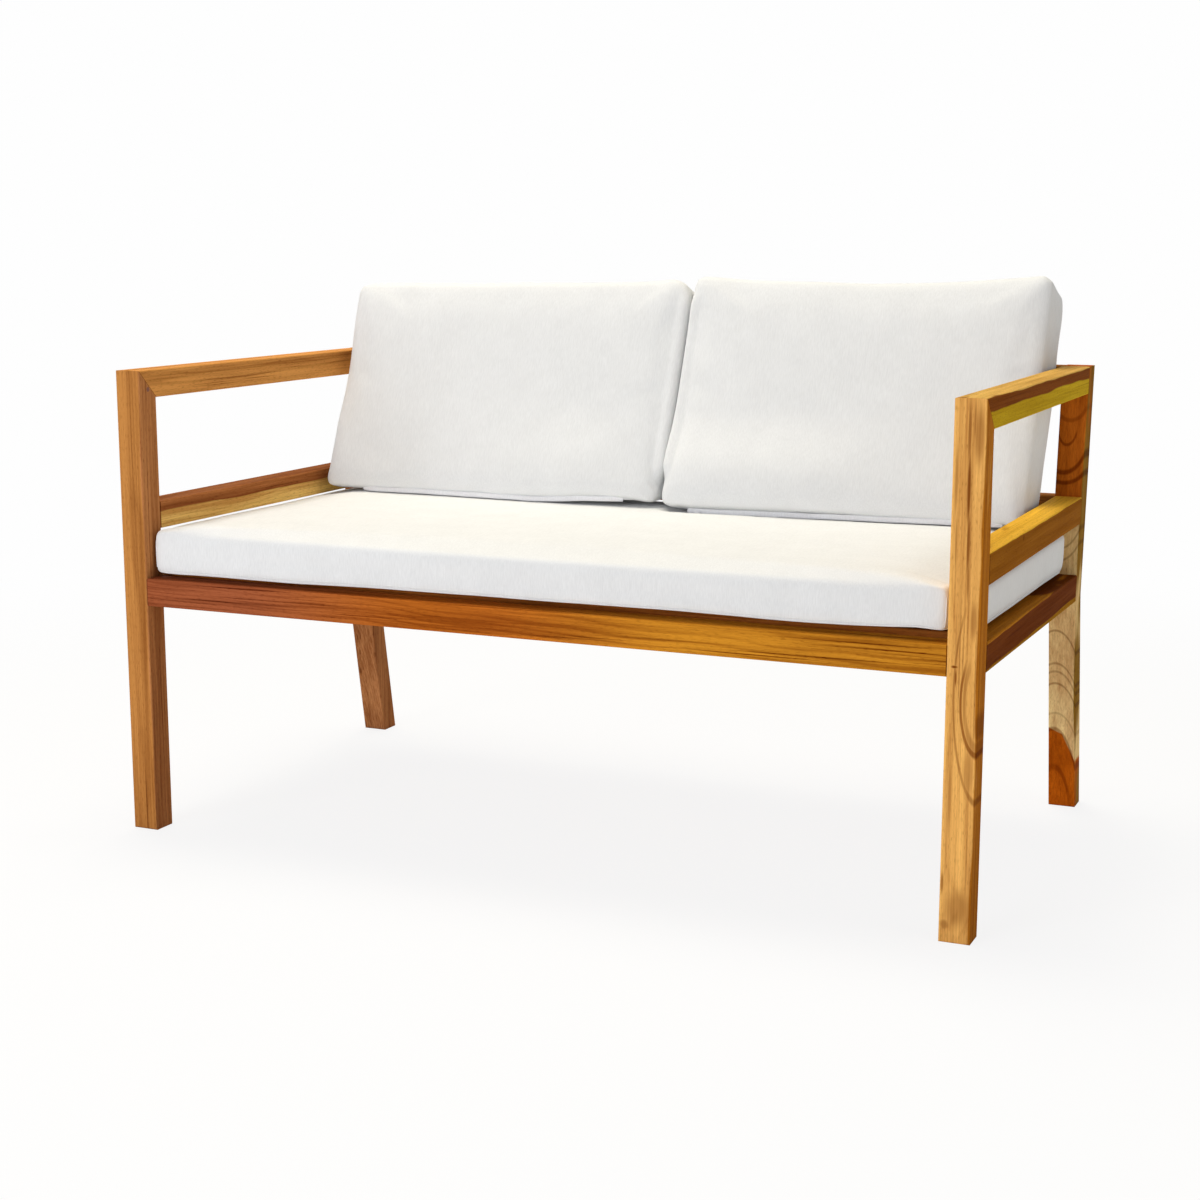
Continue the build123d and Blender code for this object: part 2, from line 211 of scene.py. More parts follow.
# %% Lamps
lamp_aim = Vector((0.0, 0.0, 430 * mm))
lamps = {
    "overhead_softbox": {"place": (-0.8, 0.7, 4.6), "size": 2.4, "power": 176.0, "tint": "#FFF7E4"},
    "front_softbox": {"place": (-1.3, -4.0, 1.3), "size": 2.2, "power": 88.0, "tint": "#F6F8FF"},
    "right_fill": {"place": (3.1, -0.7, 1.0), "size": 1.8, "power": 13.0, "tint": "#FFFFFF"},
}
for name, lamp in lamps.items():
    data = bpy.data.lights.new(name, "AREA")
    data.shape = "SQUARE"
    data.size = lamp["size"]
    data.energy = lamp["power"]
    data.color = linear(lamp["tint"])[:3]
    piece = bpy.data.objects.new(name, data)
    piece.location = lamp["place"]
    piece.rotation_euler = (lamp_aim - Vector(lamp["place"])).to_track_quat("-Z", "Y").to_euler()
    bpy.context.scene.collection.objects.link(piece)
print("lamps:", list(lamps))


# %% [markdown]
# ## Teak
#
# Oiled teak is warm orange-brown with darker growth rings, short open pores and, near the
# bark, pale yellow sapwood. Painting a stripe pattern on each face would break at the
# corners. Instead each board is cut out of its own imaginary log: the rings are
# distances from the log's heart, so they run round corners and show as end grain on the
# feet. Each board states where its log's heart lies, how wide its rings are and which
# zones of it are sapwood or darker heartwood. On the right-hand boards some tones and
# zones are painted light and shade: darker outer faces are painted shade, and lighter
# tops are painted light.

# %% Teak colours and patterns
grain_orders = {"x": (0, 1, 2), "y": (1, 0, 2), "z": (2, 0, 1)}
teak_light_share = (1.28, 1.34, 1.25)
teak_dark_share = (0.68, 0.58, 0.46)
# Length and width in mm, detail and offset of each pattern that runs along the grain. Real
# pores are about 0.3 mm wide, too fine to show here, so they are drawn at 0.9 mm.
grain_patterns = {
    "wander": (280.0, 75.0, 1.0, 3.1), "ragged": (60.0, 4.0, 2.0, 7.7),
    "fibres": (150.0, 2.2, 3.0, 1.3), "bands": (420.0, 15.0, 2.0, 5.9),
    "zone edges": (160.0, 40.0, 2.0, 9.2), "pores": (9.0, 0.9, 0.0, 2.2),
    "streaks": (240.0, 3.0, 1.0, 4.4), "patches": (420.0, 30.0, 0.0, 6.6),
}


def shades(hex_colour):
    """The light and the dark end of one teak tone."""
    tone = linear(hex_colour)
    light = (*[min(1.0, c * k) for c, k in zip(tone, teak_light_share)], 1.0)
    dark = (*[c * k for c, k in zip(tone, teak_dark_share)], 1.0)
    return light, dark


def grain_noise(tree, along, seed, pattern):
    """One pattern as noise stretched along the grain."""
    length, width, detail, offset = grain_patterns[pattern]
    squeezed = add(tree, "VectorMath", [
        along, (1 / length, 1 / width, 1 / width), (seed + offset, seed, offset),
    ], "MULTIPLY_ADD")
    return add(tree, "TexNoise", {"Vector": squeezed, "Scale": 1.0, "Detail": detail})


print("grain patterns:", list(grain_patterns))

# %% Knots and swirls
knot_core = 0.3                     # a knot is fully dark inside this share of its reach
swirl_side = 0.5


def mark_measure(tree, point, spot, reach):
    """The place in a mark's own measure, which is 1 at its rim, and how far out that is."""
    offset = add(tree, "VectorMath", [point, spot], "SUBTRACT")
    shares = tuple(1 / r if r else 0.0 for r in reach)
    scaled = add(tree, "VectorMath", [offset, shares], "MULTIPLY")
    return scaled, add(tree, "VectorMath", [scaled], "LENGTH").outputs["Value"]


def knot(tree, point, radius, spot, reach, push, dark):
    """A knot pushes the rings aside and darkens its own middle."""
    _, gap = mark_measure(tree, point, spot, reach)
    square = add(tree, "Math", [gap, gap], "MULTIPLY")
    fall = add(tree, "Math", [square, -1.0], "MULTIPLY")
    bell = add(tree, "Math", [fall], "EXPONENT")
    radius = add(tree, "Math", [bell, push, radius], "MULTIPLY_ADD").outputs[0]
    core = add(tree, "MapRange", [gap, 1.0, knot_core, 0.0, dark], interpolation_type="SMOOTHSTEP")
    return radius, core


def swirl(tree, point, spot, reach, thick, side, dark):
    """A swirl is a dark crescent where the grain was grown over a branch."""
    scaled, gap = mark_measure(tree, point, spot, reach)
    off = add(tree, "Math", [gap, 1.0], "SUBTRACT")
    off = add(tree, "Math", [off], "ABSOLUTE")
    line = add(tree, "MapRange", [off, thick, thick / 4, 0.0, dark], interpolation_type="SMOOTHSTEP")
    turned = add(tree, "VectorMath", [scaled, side], "DOT_PRODUCT").outputs["Value"]
    part = add(tree, "MapRange", [turned, 0.0, swirl_side], interpolation_type="SMOOTHSTEP")
    return add(tree, "Math", [line, part], "MULTIPLY")


# %% Rings of the log
ring_unevenness = 2.4
ring_raggedness = 0.25
ring_rim = 0.30
ring_stops = ((0.14, 0.06), (0.55, 0.22), (0.86, 0.95))   # place in the ring and darkness


def log_radius(tree, along, length, seed, heart, wander, tilt):
    """Distance from the log's heart, with the slow wander of a grown trunk."""
    drift = add(tree, "VectorMath", [
        grain_noise(tree, along, seed, "wander").outputs[1], (0.5, 0.5, 0.5),
    ], "SUBTRACT")
    shifted = add(tree, "VectorMath", [drift, (wander * 2,) * 3, along], "MULTIPLY_ADD")
    lengths = add(tree, "CombineXYZ", [length, length, length])
    sloped = add(tree, "VectorMath", [lengths, (0, *tilt), shifted], "MULTIPLY_ADD")
    off = add(tree, "VectorMath", [sloped, (0, *heart)], "SUBTRACT")
    across = add(tree, "VectorMath", [off, (0, 1, 1)], "MULTIPLY")
    return add(tree, "VectorMath", [across], "LENGTH").outputs["Value"]


def ring_shade(tree, radius, ragged, ring):
    """Rings are uneven in width, and each is pale at first and dark at its outer edge."""
    place = add(tree, "Math", [radius, 1 / (ring * 5)], "MULTIPLY")
    uneven = add(tree, "TexNoise", {"W": place, "Scale": 1.0, "Detail": 1.0}, noise_dimensions="1D")
    count = add(tree, "Math", [radius, 1 / ring], "MULTIPLY")
    count = add(tree, "Math", [uneven, ring_unevenness, count], "MULTIPLY_ADD")
    count = add(tree, "Math", [ragged, ring_raggedness, count], "MULTIPLY_ADD")
    within = add(tree, "Math", [count], "FRACT")
    shade = add(tree, "ValToRGB", [within])
    stops = shade.color_ramp.elements
    for stop, at in zip(stops, (0.0, 1.0)):
        stop.position, stop.color = at, (ring_rim, ring_rim, ring_rim, 1)
    for at, level in ring_stops:
        stops.new(at).color = (level, level, level, 1)
    return shade


# %% Teak material
fibre_strength = 0.85
band_strength = 1.5
ring_mean, usual_rings = 0.22, 0.42  # fainter rings are made up for by their mean darkness
pattern_centre, pattern_gain, pattern_spread = 0.57, 0.75, 0.3
zone_waviness = 9.0                 # mm
pore_ends, pore_dark = (0.60, 0.72), 0.24
patch_ends = (0.42, 0.60)
joint_line, joint_dark = 0.5, 0.72
edge_wear, edge_pale = 3.0, 0.35
dimming_tint = (0.84, 1.0, 1.1)     # dark lines keep a little red
teak_bump, teak_relief = 0.35, 0.25 * mm
teak_roughness = (0.50, 0.64)
# Oil darkens teak but leaves no film, so its faces have almost no mirror shine of their own
teak_shine = {"IOR": 1.1, "Specular IOR Level": 0.05}


def teak(name, node, grain, tone, heart, ring=4.5, wander=11.0, tilt=(0.0, 0.0), seed=0.0, zones=(),
         knots=(), swirls=(), joints=(), worn=True, contrast=1.0, streaks=0.5, rings=0.2):
    """Teak for one board. Places are in millimetres from the middle of the board's box."""
    low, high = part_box(node)
    material, tree = new_material(name)
    place = add(tree, "TexCoord").outputs["Object"]
    centred = add(tree, "VectorMath", [place, (low + high) / 2], "SUBTRACT")
    point = add(tree, "VectorMath", {0: centred, "Scale": 1 / mm}, "SCALE")
    parts = add(tree, "SeparateXYZ", [point])
    u, v, w = (parts.outputs[i] for i in grain_orders[grain])
    along = add(tree, "CombineXYZ", [u, v, w])
    radius = log_radius(tree, along, u, seed, heart, wander, tilt)
    marks = []
    for settings in knots:
        radius, core = knot(tree, point, radius, *settings)
        marks.append(core)
    marks += [swirl(tree, point, *settings) for settings in swirls]

    # The pattern runs from 0, pale, to 1, dark
    shade = ring_shade(tree, radius, grain_noise(tree, along, seed, "ragged"), ring)
    fibres, bands = (grain_noise(tree, along, seed, kind) for kind in ("fibres", "bands"))
    pattern = add(tree, "Math", [shade, rings, ring_mean * (usual_rings - rings)], "MULTIPLY_ADD")
    pattern = add(tree, "Math", [fibres, fibre_strength, pattern], "MULTIPLY_ADD")
    pattern = add(tree, "Math", [bands, band_strength * contrast, pattern], "MULTIPLY_ADD")
    centre = pattern_centre + pattern_gain * contrast
    spread = pattern_spread / min(1.0, contrast)
    pattern = add(tree, "MapRange", [pattern, centre - spread, centre + spread])

    # Zones of sapwood or darker heartwood, and on some right-hand boards zones of painted shade
    # on an outer face and of painted light on a top, each beyond a slightly wavy plane
    light, dark = shades(tone)
    edges = grain_noise(tree, along, seed, "zone edges")
    for way, start, soft, zone_tone in zones:
        start += zone_waviness / 2
        depth = add(tree, "VectorMath", [point, way], "DOT_PRODUCT").outputs["Value"]
        depth = add(tree, "Math", [edges, zone_waviness, depth], "MULTIPLY_ADD")
        part = add(tree, "MapRange", [depth, start, start + soft], interpolation_type="SMOOTHSTEP")
        zone_light, zone_dark = shades(zone_tone)
        light = add(tree, "Mix", {0: part, 6: light, 7: zone_light}, data_type="RGBA").outputs[2]
        dark = add(tree, "Mix", {0: part, 6: dark, 7: zone_dark}, data_type="RGBA").outputs[2]
    colour = add(tree, "Mix", {0: pattern, 6: light, 7: dark}, data_type="RGBA").outputs[2]

    # Pores, dark streaks, marks, and the dark lines where boards meet
    pores, lines, patches = (
        add(tree, "MapRange", [grain_noise(tree, along, seed, kind), ends[0], ends[1]])
        for kind, ends in (("pores", pore_ends), ("streaks", pore_ends), ("patches", patch_ends))
    )
    dimming = add(tree, "Math", [pores, pore_dark], "MULTIPLY")
    streak = add(tree, "Math", [lines, patches], "MULTIPLY")
    dimming = add(tree, "Math", [streak, streaks, dimming], "MULTIPLY_ADD")
    for joint_point, normal in joints:
        gap = add(tree, "VectorMath", [place, joint_point], "SUBTRACT")
        gap = add(tree, "VectorMath", [gap, normal], "DOT_PRODUCT").outputs["Value"]
        gap = add(tree, "Math", [gap], "ABSOLUTE")
        marks.append(add(tree, "MapRange", [
            gap, joint_line * 2 * mm, joint_line * mm, 0.0, joint_dark,
        ]))
    for mark in marks:
        dimming = add(tree, "Math", [dimming, mark], "MAXIMUM")

    # Worn arrises are pale
    if worn:
        gaps = []
        for socket, index in zip((v, w), grain_orders[grain][1:]):
            size = add(tree, "Math", [socket], "ABSOLUTE")
            half = (high - low)[index] / 2 / mm
            gaps.append(add(tree, "Math", [half, size], "SUBTRACT"))
        corner = add(tree, "Math", [gaps[0], gaps[1]], "MAXIMUM")
        rub = add(tree, "MapRange", [corner, edge_wear, edge_wear / 4, 0.0, edge_pale])
        colour = add(tree, "Mix", {0: rub, 6: colour, 7: light}, data_type="RGBA").outputs[2]
    lost = add(tree, "VectorMath", {0: dimming_tint, "Scale": dimming}, "SCALE")
    kept = add(tree, "VectorMath", [(1, 1, 1), lost], "SUBTRACT")
    colour = add(tree, "VectorMath", [colour, kept], "MULTIPLY")

    height = add(tree, "Math", [pores, -1.0, fibres], "MULTIPLY_ADD")
    bump = add(tree, "Bump", {"Height": height, "Strength": teak_bump, "Distance": teak_relief})
    smooth, rough = teak_roughness
    roughness = add(tree, "MapRange", [pattern, 0.0, 1.0, smooth, rough])
    shader = add(tree, "BsdfPrincipled", {
        "Base Color": colour, "Roughness": roughness, "Normal": bump, **teak_shine,
    })
    add(tree, "OutputMaterial", {"Surface": shader})
    return material


def wear(node, material):
    """Gives a CAD node its material."""
    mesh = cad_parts[node].data
    mesh.materials.clear()
    mesh.materials.append(material)


# %% [markdown]
# ## The boards
#
# No two boards of the real frame match: some are golden, some red-brown, some have a
# strip of sapwood. Each entry below is one board, with its own log, tone and zones.

# %% Boards
half_width = cad_high.x
post_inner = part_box("front_post_right")[0].x
post_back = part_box("front_post_right")[1].y
arm_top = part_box("front_post_right")[1].z
arm_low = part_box("arm_right")[0].z
mitre = ((0, post_back, arm_low), (0, math.sqrt(0.5), math.sqrt(0.5)))
rail_ends = [((x, 0, 0), (1, 0, 0)) for x in (-post_inner, post_inner)]
post_face = ((0, post_back, 0), (0, 1, 0))
leg_rake = math.radians(6.0)
leg_top_front = front_y + 647 * mm


def leg_face(level):
    """Joint plane where a rail that starts at a level meets the sloping rear leg."""
    front = leg_top_front - (arm_top - level) * math.tan(leg_rake)
    return (0, front, level), (0, math.cos(leg_rake), -math.sin(leg_rake))


# Marks on the right front post's front: across, up, their half sizes, push and darkness
post_knots = [
    (-0.2, 300, 2.6, 52, 0, 0.55), (1.0, 230, 3.2, 60, 0, 0.78), (2.4, 165, 2.8, 55, 0, 0.70),
    (3.4, 120, 2.2, 36, 0, 0.55), (12, 295, 8, 52, 5, 0.50), (6, 312, 2.0, 34, 0, 0.45),
    (-14.5, 240, 2.2, 60, 0, 0.45), (-13, 165, 2.0, 45, 0, 0.40), (12, 70, 6, 32, 3, 0.40),
    (-10, 12.5, 5.5, 2.6, 0, 0.85), (-8.2, -1, 2.0, 15, 0, 0.75), (20, -62, 5, 26, 0, 0.50),
    (10, -118, 9, 42, 4, 0.36), (-11, -150, 3.4, 60, 0, 0.32), (-17, -262, 2.8, 20, 0, 0.60),
    (3, -293, 20, 34, 7, 0.42), (-13, -315, 8, 8, 2, 0.45),
]
post_swirls = [
    ((21, 0, -29), (22, 0, 67), 0.11, (-0.8, 0, -0.6), 0.72),
    ((21, 0, -29), (17.5, 0, 58), 0.20, (-0.9, 0, -0.5), 0.42),
    ((27, 0, -20), (37, 0, 139), 0.05, (-0.85, 0, -0.5), 0.50),
]
# Arches in the right rear leg: across, up, their half sizes, thickness, up or down, darkness
leg_arches = [
    (-9, -126, 34, 72, 0.04, 1, 0.50), (-9, -178, 34, 72, 0.04, 1, 0.46),
    (-9, -191, 34, 72, 0.04, 1, 0.42), (-9, -210, 34, 72, 0.04, 1, 0.48),
    (-9, -258, 34, 72, 0.04, 1, 0.32), (-11.5, -340, 37, 128, 0.04, 1, 0.55),
    (-12, -345, 24, 70, 0.12, 1, 0.42), (-10, 246, 36, 63, 0.09, -1, 0.66),
    (-8, 208, 36, 40, 0.12, -1, 0.66), (-7, 250, 14, 26, 0.14, -1, 0.55),
    (-4, 290, 24, 30, 0.16, -1, 0.40), (-12, 130, 36, 60, 0.045, -1, 0.42),
    (-12, 114, 38, 62, 0.045, -1, 0.42),
]

boards = {
    "front_post_left": {
        "grain": "z", "tone": "#AE743E", "heart": (-8, 90), "ring": 7.0, "seed": 1.0,
        "zones": [((1, 0, 0), 17, 2, "#B07448")], "contrast": 0.9,
    },
    # Its zone, a darker +X face, is painted shade on the side turned from the light
    "front_post_right": {
        "grain": "z", "tone": "#E8AC62", "heart": (30, 70), "ring": 8.0, "seed": 2.0,
        "streaks": 0.35, "contrast": 0.8, "zones": [((1, 0, 0), 17, 2, "#B06C1F")],
        "knots": [
            ((x, 0, z), (wide, 0, tall), push, dark) for x, z, wide, tall, push, dark in post_knots
        ],
        "swirls": post_swirls,
    },
    "rear_leg_left": {"grain": "z", "tone": "#AB734B", "heart": (-60, 45), "seed": 3.0, "worn": False},
    # Its last zone, a darker +X face, is painted shade on the side turned from the light
    "rear_leg_right": {
        "grain": "z", "tone": "#B65910", "heart": (-4, -64), "ring": 9.0, "wander": 7.0, "seed": 4.0,
        "worn": False, "rings": 0.1, "contrast": 0.8, "streaks": 0.2,
        "zones": [
            ((0.41, 0, 1), -220, 3, "#F2C690"), ((2.34, 0, 1), -220, 6, "#F2C690"),
            ((0, 0, 1), 128, 6, "#B4601C"), ((1, 0, 0), 17.5, 2, "#8A6422"),
        ],
        "swirls": [
            ((x, 0, z), (wide, 0, tall), thick, (0, 0, up), dark)
            for x, z, wide, tall, thick, up, dark in leg_arches
        ],
    },
    "arm_left": {
        "grain": "y", "tone": "#C68749", "heart": (80, 30), "seed": 5.0,
        "joints": [mitre, leg_face(arm_top)],
    },
    # The dark tone is painted shade on the outer face, and the last zone, a lighter top, is painted
    # light
    "arm_right": {
        "grain": "y", "tone": "#7A4010", "heart": (40, 90), "seed": 6.0,
        "joints": [mitre, leg_face(arm_top)], "rings": 0.06, "contrast": 0.7, "streaks": 0.3,
        "zones": [((0.3, 0, -0.95), 2, 2, "#C09D20"), ((0, 0, 1), 18, 1, "#CEA256")],
    },
    "side_rail_left": {
        "grain": "y", "tone": "#A4643A", "heart": (70, 40), "seed": 7.0, "joints": [post_face],
        "zones": [((0, 0, -1), -5, 2, "#F0BC70")],
    },
    # The dark tone is painted shade on the outer face, and the zone, a lighter top, is painted light
    "side_rail_right": {
        "grain": "y", "tone": "#905710", "heart": (-50, 70), "seed": 8.0, "joints": [post_face],
        "rings": 0.06, "contrast": 0.7, "streaks": 0.25,
        "zones": [((0, 0, 1), 18, 1, "#E1AE3D")],
        "knots": [((20, -102, 14), (0, 3.5, 6), 0, 0.75)],
    },
    "seat_side_rail_left": {
        "grain": "y", "tone": "#A0622C", "heart": (60, 50), "seed": 9.0, "joints": [post_face],
        "worn": False,
    },
    # The dark tone is painted shade on the outer face, and the last zone, a lighter top, is painted
    # light
    "seat_side_rail_right": {
        "grain": "y", "tone": "#693208", "heart": (60, 60), "seed": 10.0, "joints": [post_face],
        "worn": False, "rings": 0.06, "contrast": 0.8, "streaks": 0.3,
        "zones": [((0, 0, -1), 13, 2, "#9C6A10"), ((0, 0, 1), 18, 1, "#B0701E")],
    },
    "seat_front_rail": {
        "grain": "x", "tone": "#BD7C24", "heart": (30, 35), "ring": 5.0, "seed": 11.0,
        "joints": rail_ends, "contrast": 1.25, "rings": 0.34, "streaks": 0.75, "tilt": (0.0, 0.035),
        "zones": [((-1, 0, 0), -280, 330, "#AA5C1E"), ((-1, 0, 0), 120, 330, "#8F4C30")],
    },
    "slat_cleat_left": {"grain": "y", "tone": "#A06A34", "heart": (40, 60), "seed": 15.0},
    "slat_cleat_right": {"grain": "y", "tone": "#A87038", "heart": (60, 40), "seed": 16.0},
    "centre_bearer": {"grain": "y", "tone": "#A4682F", "heart": (50, 50), "seed": 17.0},
}
for seed, (node, tone, heart) in enumerate((
    ("seat_back_rail", "#AE6C30", (50, 60)), ("back_rail_middle", "#B4743A", (70, 10)),
    ("back_rail_top", "#BC7C3C", (60, 20)),
)):
    boards[node] = {"grain": "x", "tone": tone, "heart": heart, "seed": 12.0 + seed, "joints": rail_ends}
slat_tones = ["#9C5C28", "#B4783C", "#A86A30", "#BA8040", "#A46430", "#B07036"]
for index, tone in enumerate(slat_tones):
    boards[f"seat_slat_{index + 1}"] = {
        "grain": "x", "tone": tone, "heart": (20 + 12 * index, 60), "ring": 6.0, "seed": 20.0 + index,
    }
for node, board in boards.items():
    wear(node, teak(f"oiled_teak_{node}", node, **board))
print("boards with their own teak:", len(boards))


# %% [markdown]
# ## Dowels, plugs and screws
#
# Turned pins are straight-grained wood and look a little darker than the boards, because
# their end grain drinks more oil. The screws are stainless steel with a brushed head.

# %% Small hardware finishes
noise_ends = {1: 0.3, 2: 0.7}       # nearly all of a noise lies between these values


def specked(name, size, detail, tones, rough, relief=0.0, metal=0.0):
    """A finish with one pattern of fine specks, this many mm in size, between two tones."""
    material, tree = new_material(name)
    place = add(tree, "TexCoord").outputs["Object"]
    specks = add(tree, "TexNoise", {"Vector": place, "Scale": 1 / (size * mm), "Detail": detail})
    colour = add(tree, "Mix", {0: specks, 6: tones[0], 7: tones[1]}, data_type="RGBA").outputs[2]
    roughness = add(tree, "MapRange", {0: specks, **noise_ends, 3: rough[0], 4: rough[1]})
    shader = add(tree, "BsdfPrincipled", {
        "Base Color": colour, "Metallic": metal, "Roughness": roughness,
    })
    if relief:
        bump = add(tree, "Bump", {"Height": specks, "Strength": relief, "Distance": 0.1 * mm})
        tree.links.new(bump.outputs[0], shader.inputs["Normal"])
    add(tree, "OutputMaterial", {"Surface": shader})
    return material


pin_wood = specked("turned_hardwood_pins", 1.2, 3.0, shades("#7A4630"), (0.6, 0.6), relief=0.3)
for node in ("mitre_dowels", "mitre_pins"):
    wear(node, pin_wood)
steel_tones = linear("#B9B7B0"), linear("#8F8D88")
steel = specked("brushed_stainless_steel", 0.6, 2.0, steel_tones, (0.26, 0.42), metal=1.0)
for node in ("slat_screws", "cleat_screws"):
    wear(node, steel)
print("hardware finishes:", pin_wood.name, steel.name)


# %% [markdown]
# ## Cushion cloth
#
# The covers are off-white solution-dyed acrylic, a plain weave with slightly thick and
# thin yarns. Real threads are about 0.5 mm apart, too fine to show here, so the weave is
# drawn at 1.6 mm, and the slubs, which do show, as short pale and grey dashes along the
# warp. The pattern is measured in the cushion's own directions and picks, by the
# surface's normal, the two that lie in the cloth.

# %% Cloth material
cloth_tone = "#E3E4E4"
weave_pitch = 1.6                   # mm between threads, drawn coarser than the real 0.5 mm
weave_shade, weave_relief = 0.006, 0.35
slub_length, slub_width = 11.0, 1.3
slub_shades = (0.95, 1.03)
patch_size, patch_shades = 45, (0.98, 1.015)
cloth_bump, cloth_relief = 0.45, 0.2 * mm
cloth_finish = {"Roughness": 0.88, "Sheen Weight": 0.1, "Sheen Roughness": 0.5}


def weave_waves(tree, parts, ways):
    """One wave along each axis, which fades where the cloth faces that axis."""
    waves = []
    for axis in range(3):
        turn = add(tree, "Math", [parts.outputs[axis], 2 * math.pi / weave_pitch], "MULTIPLY")
        wave = add(tree, "Math", [turn], "SINE")
        flat = add(tree, "Math", [ways.outputs[axis]], "ABSOLUTE")
        seen = add(tree, "Math", [1.0, flat], "SUBTRACT")
        waves.append(add(tree, "Math", [wave, seen], "MULTIPLY"))
    both = add(tree, "Math", [waves[0], waves[1]], "ADD")
    return add(tree, "Math", [both, waves[2]], "ADD")


def slub_noise(tree, point, ways):
    """Slubs run up the fronts and, over the top edge, on towards the back."""
    wide, long = 1 / slub_width, 1 / slub_length
    fronts, tops = (
        add(tree, "TexNoise", {
            "Vector": add(tree, "VectorMath", [point, shares], "MULTIPLY"),
            "Scale": 1.0, "Detail": 2.0,
        })
        for shares in ((wide, wide, long), (wide, long, wide))
    )
    steep = add(tree, "Math", [ways.outputs[2]], "ABSOLUTE")
    on_top = add(tree, "MapRange", [steep, 0.5, 0.85], interpolation_type="SMOOTHSTEP")
    return add(tree, "Mix", {0: on_top, 2: fronts, 3: tops}, data_type="FLOAT")


def woven_cloth(name, lean, hex_colour=cloth_tone):
    """Acrylic cloth on a cushion that leans back by an angle in radians."""
    material, tree = new_material(name)
    place, shape = add(tree, "TexCoord"), add(tree, "NewGeometry")
    turned = add(tree, "Mapping", {"Vector": place.outputs["Object"], "Rotation": (lean, 0, 0)})
    facing = add(tree, "Mapping", {"Vector": shape.outputs["Normal"], "Rotation": (lean, 0, 0)})
    point = add(tree, "VectorMath", {0: turned, "Scale": 1 / mm}, "SCALE")
    parts, ways = (add(tree, "SeparateXYZ", [way]) for way in (point, facing))
    weave, slubs = weave_waves(tree, parts, ways), slub_noise(tree, point, ways)
    patches = add(tree, "TexNoise", {"Vector": point, "Scale": 1 / patch_size, "Detail": 3.0})
    shade, broad = (
        add(tree, "MapRange", {0: source, **noise_ends, 3: shades_of[0], 4: shades_of[1]})
        for source, shades_of in ((slubs, slub_shades), (patches, patch_shades))
    )
    level = add(tree, "Math", [shade, broad], "MULTIPLY")
    level = add(tree, "Math", [weave, weave_shade, level], "MULTIPLY_ADD")
    colour = add(tree, "VectorMath", {0: linear(hex_colour)[:3], "Scale": level}, "SCALE")
    height = add(tree, "Math", [weave, weave_relief, slubs], "MULTIPLY_ADD")
    bump = add(tree, "Bump", {"Height": height, "Strength": cloth_bump, "Distance": cloth_relief})
    shader = add(tree, "BsdfPrincipled", {"Base Color": colour, "Normal": bump, **cloth_finish})
    add(tree, "OutputMaterial", {"Surface": shader})
    return material


# %% [markdown]
# ## How a cushion is made
#
# A stuffed cover is a closed bag that the filling pushes outwards until the cloth pulls
# tight. It could be sculpted by hand, but then the swell, the drawn-in corners and the
# small folds would all be guesses. So each cushion starts as a slightly small block with
# rounded edges, is remeshed evenly, and swells by a cloth simulation with air pressure
# and no gravity, while its sewn edges stay. How far a point may move is capped softly,
# so it never grows past its room. Its outline is then eased to the cut of the cover.

# %% Block with rounded edges
def block_points(cuts):
    """A cube of side 2 cut into a grid, and its points."""
    block = bmesh.new()
    bmesh.ops.create_cube(block, size=2.0)
    bmesh.ops.subdivide_edges(block, edges=block.edges[:], cuts=cuts, use_grid_fill=True)
    return block, np.array([v.co for v in block.verts])


def rounded(points, half, radii):
    """The cube's points spread over a block whose edges are rounded by each point's radii."""
    spread = points * half
    inner = np.clip(spread, -(half - radii), half - radii)
    out = (spread - inner) / radii
    size = np.linalg.norm(out, axis=1, keepdims=True)
    square = np.abs(out).max(axis=1, keepdims=True)
    ratio = np.divide(square, size, out=np.ones_like(size), where=size > 1e-9)
    return inner + out * ratio * radii


def piece_from(name, block, spots):
    """A new object from a block whose points were moved."""
    for vertex, spot in zip(block.verts, spots):
        vertex.co = spot
    mesh = bpy.data.meshes.new(name)
    block.to_mesh(mesh)
    block.free()
    piece = bpy.data.objects.new(name, mesh)
    bpy.context.scene.collection.objects.link(piece)
    return piece


# %% Reading and writing a mesh's points
def points_of(mesh, kind="co"):
    values = np.empty(len(mesh.vertices) * 3, np.float32)
    mesh.vertices.foreach_get(kind, values)
    return values.reshape(-1, 3).astype(float)


def normals_of(mesh):
    return points_of(mesh, "normal")


def set_points(mesh, points):
    mesh.vertices.foreach_set("co", points.astype(np.float32).ravel())
    mesh.update()


def reach_of(piece):
    """Lowest and highest corner of a piece in mm, for printing."""
    points = points_of(piece.data) / mm
    return points.min(axis=0).round(1), points.max(axis=0).round(1)


def bake_modifiers(piece):
    """Replaces a piece's mesh by the one that its modifiers give."""
    graph = bpy.context.evaluated_depsgraph_get()
    mesh = bpy.data.meshes.new_from_object(piece.evaluated_get(graph))
    piece.modifiers.clear()
    piece.data = mesh


def remesh(piece, voxel):
    modifier = piece.modifiers.new("even_mesh", "REMESH")
    modifier.mode = "VOXEL"
    modifier.voxel_size = voxel
    bake_modifiers(piece)


def relax(piece, factor, repeat):
    modifier = piece.modifiers.new("relax", "SMOOTH")
    modifier.factor, modifier.iterations = factor, repeat
    bake_modifiers(piece)


def refine(piece):
    """One subdivision, which takes the facets of the remesh away."""
    modifier = piece.modifiers.new("finer", "SUBSURF")
    modifier.levels = modifier.render_levels = 1
    bake_modifiers(piece)
    piece.data.shade_smooth()


# %% Stuffing by cloth simulation
stuffing_pressure = 4.0
stuffing_steps = 20


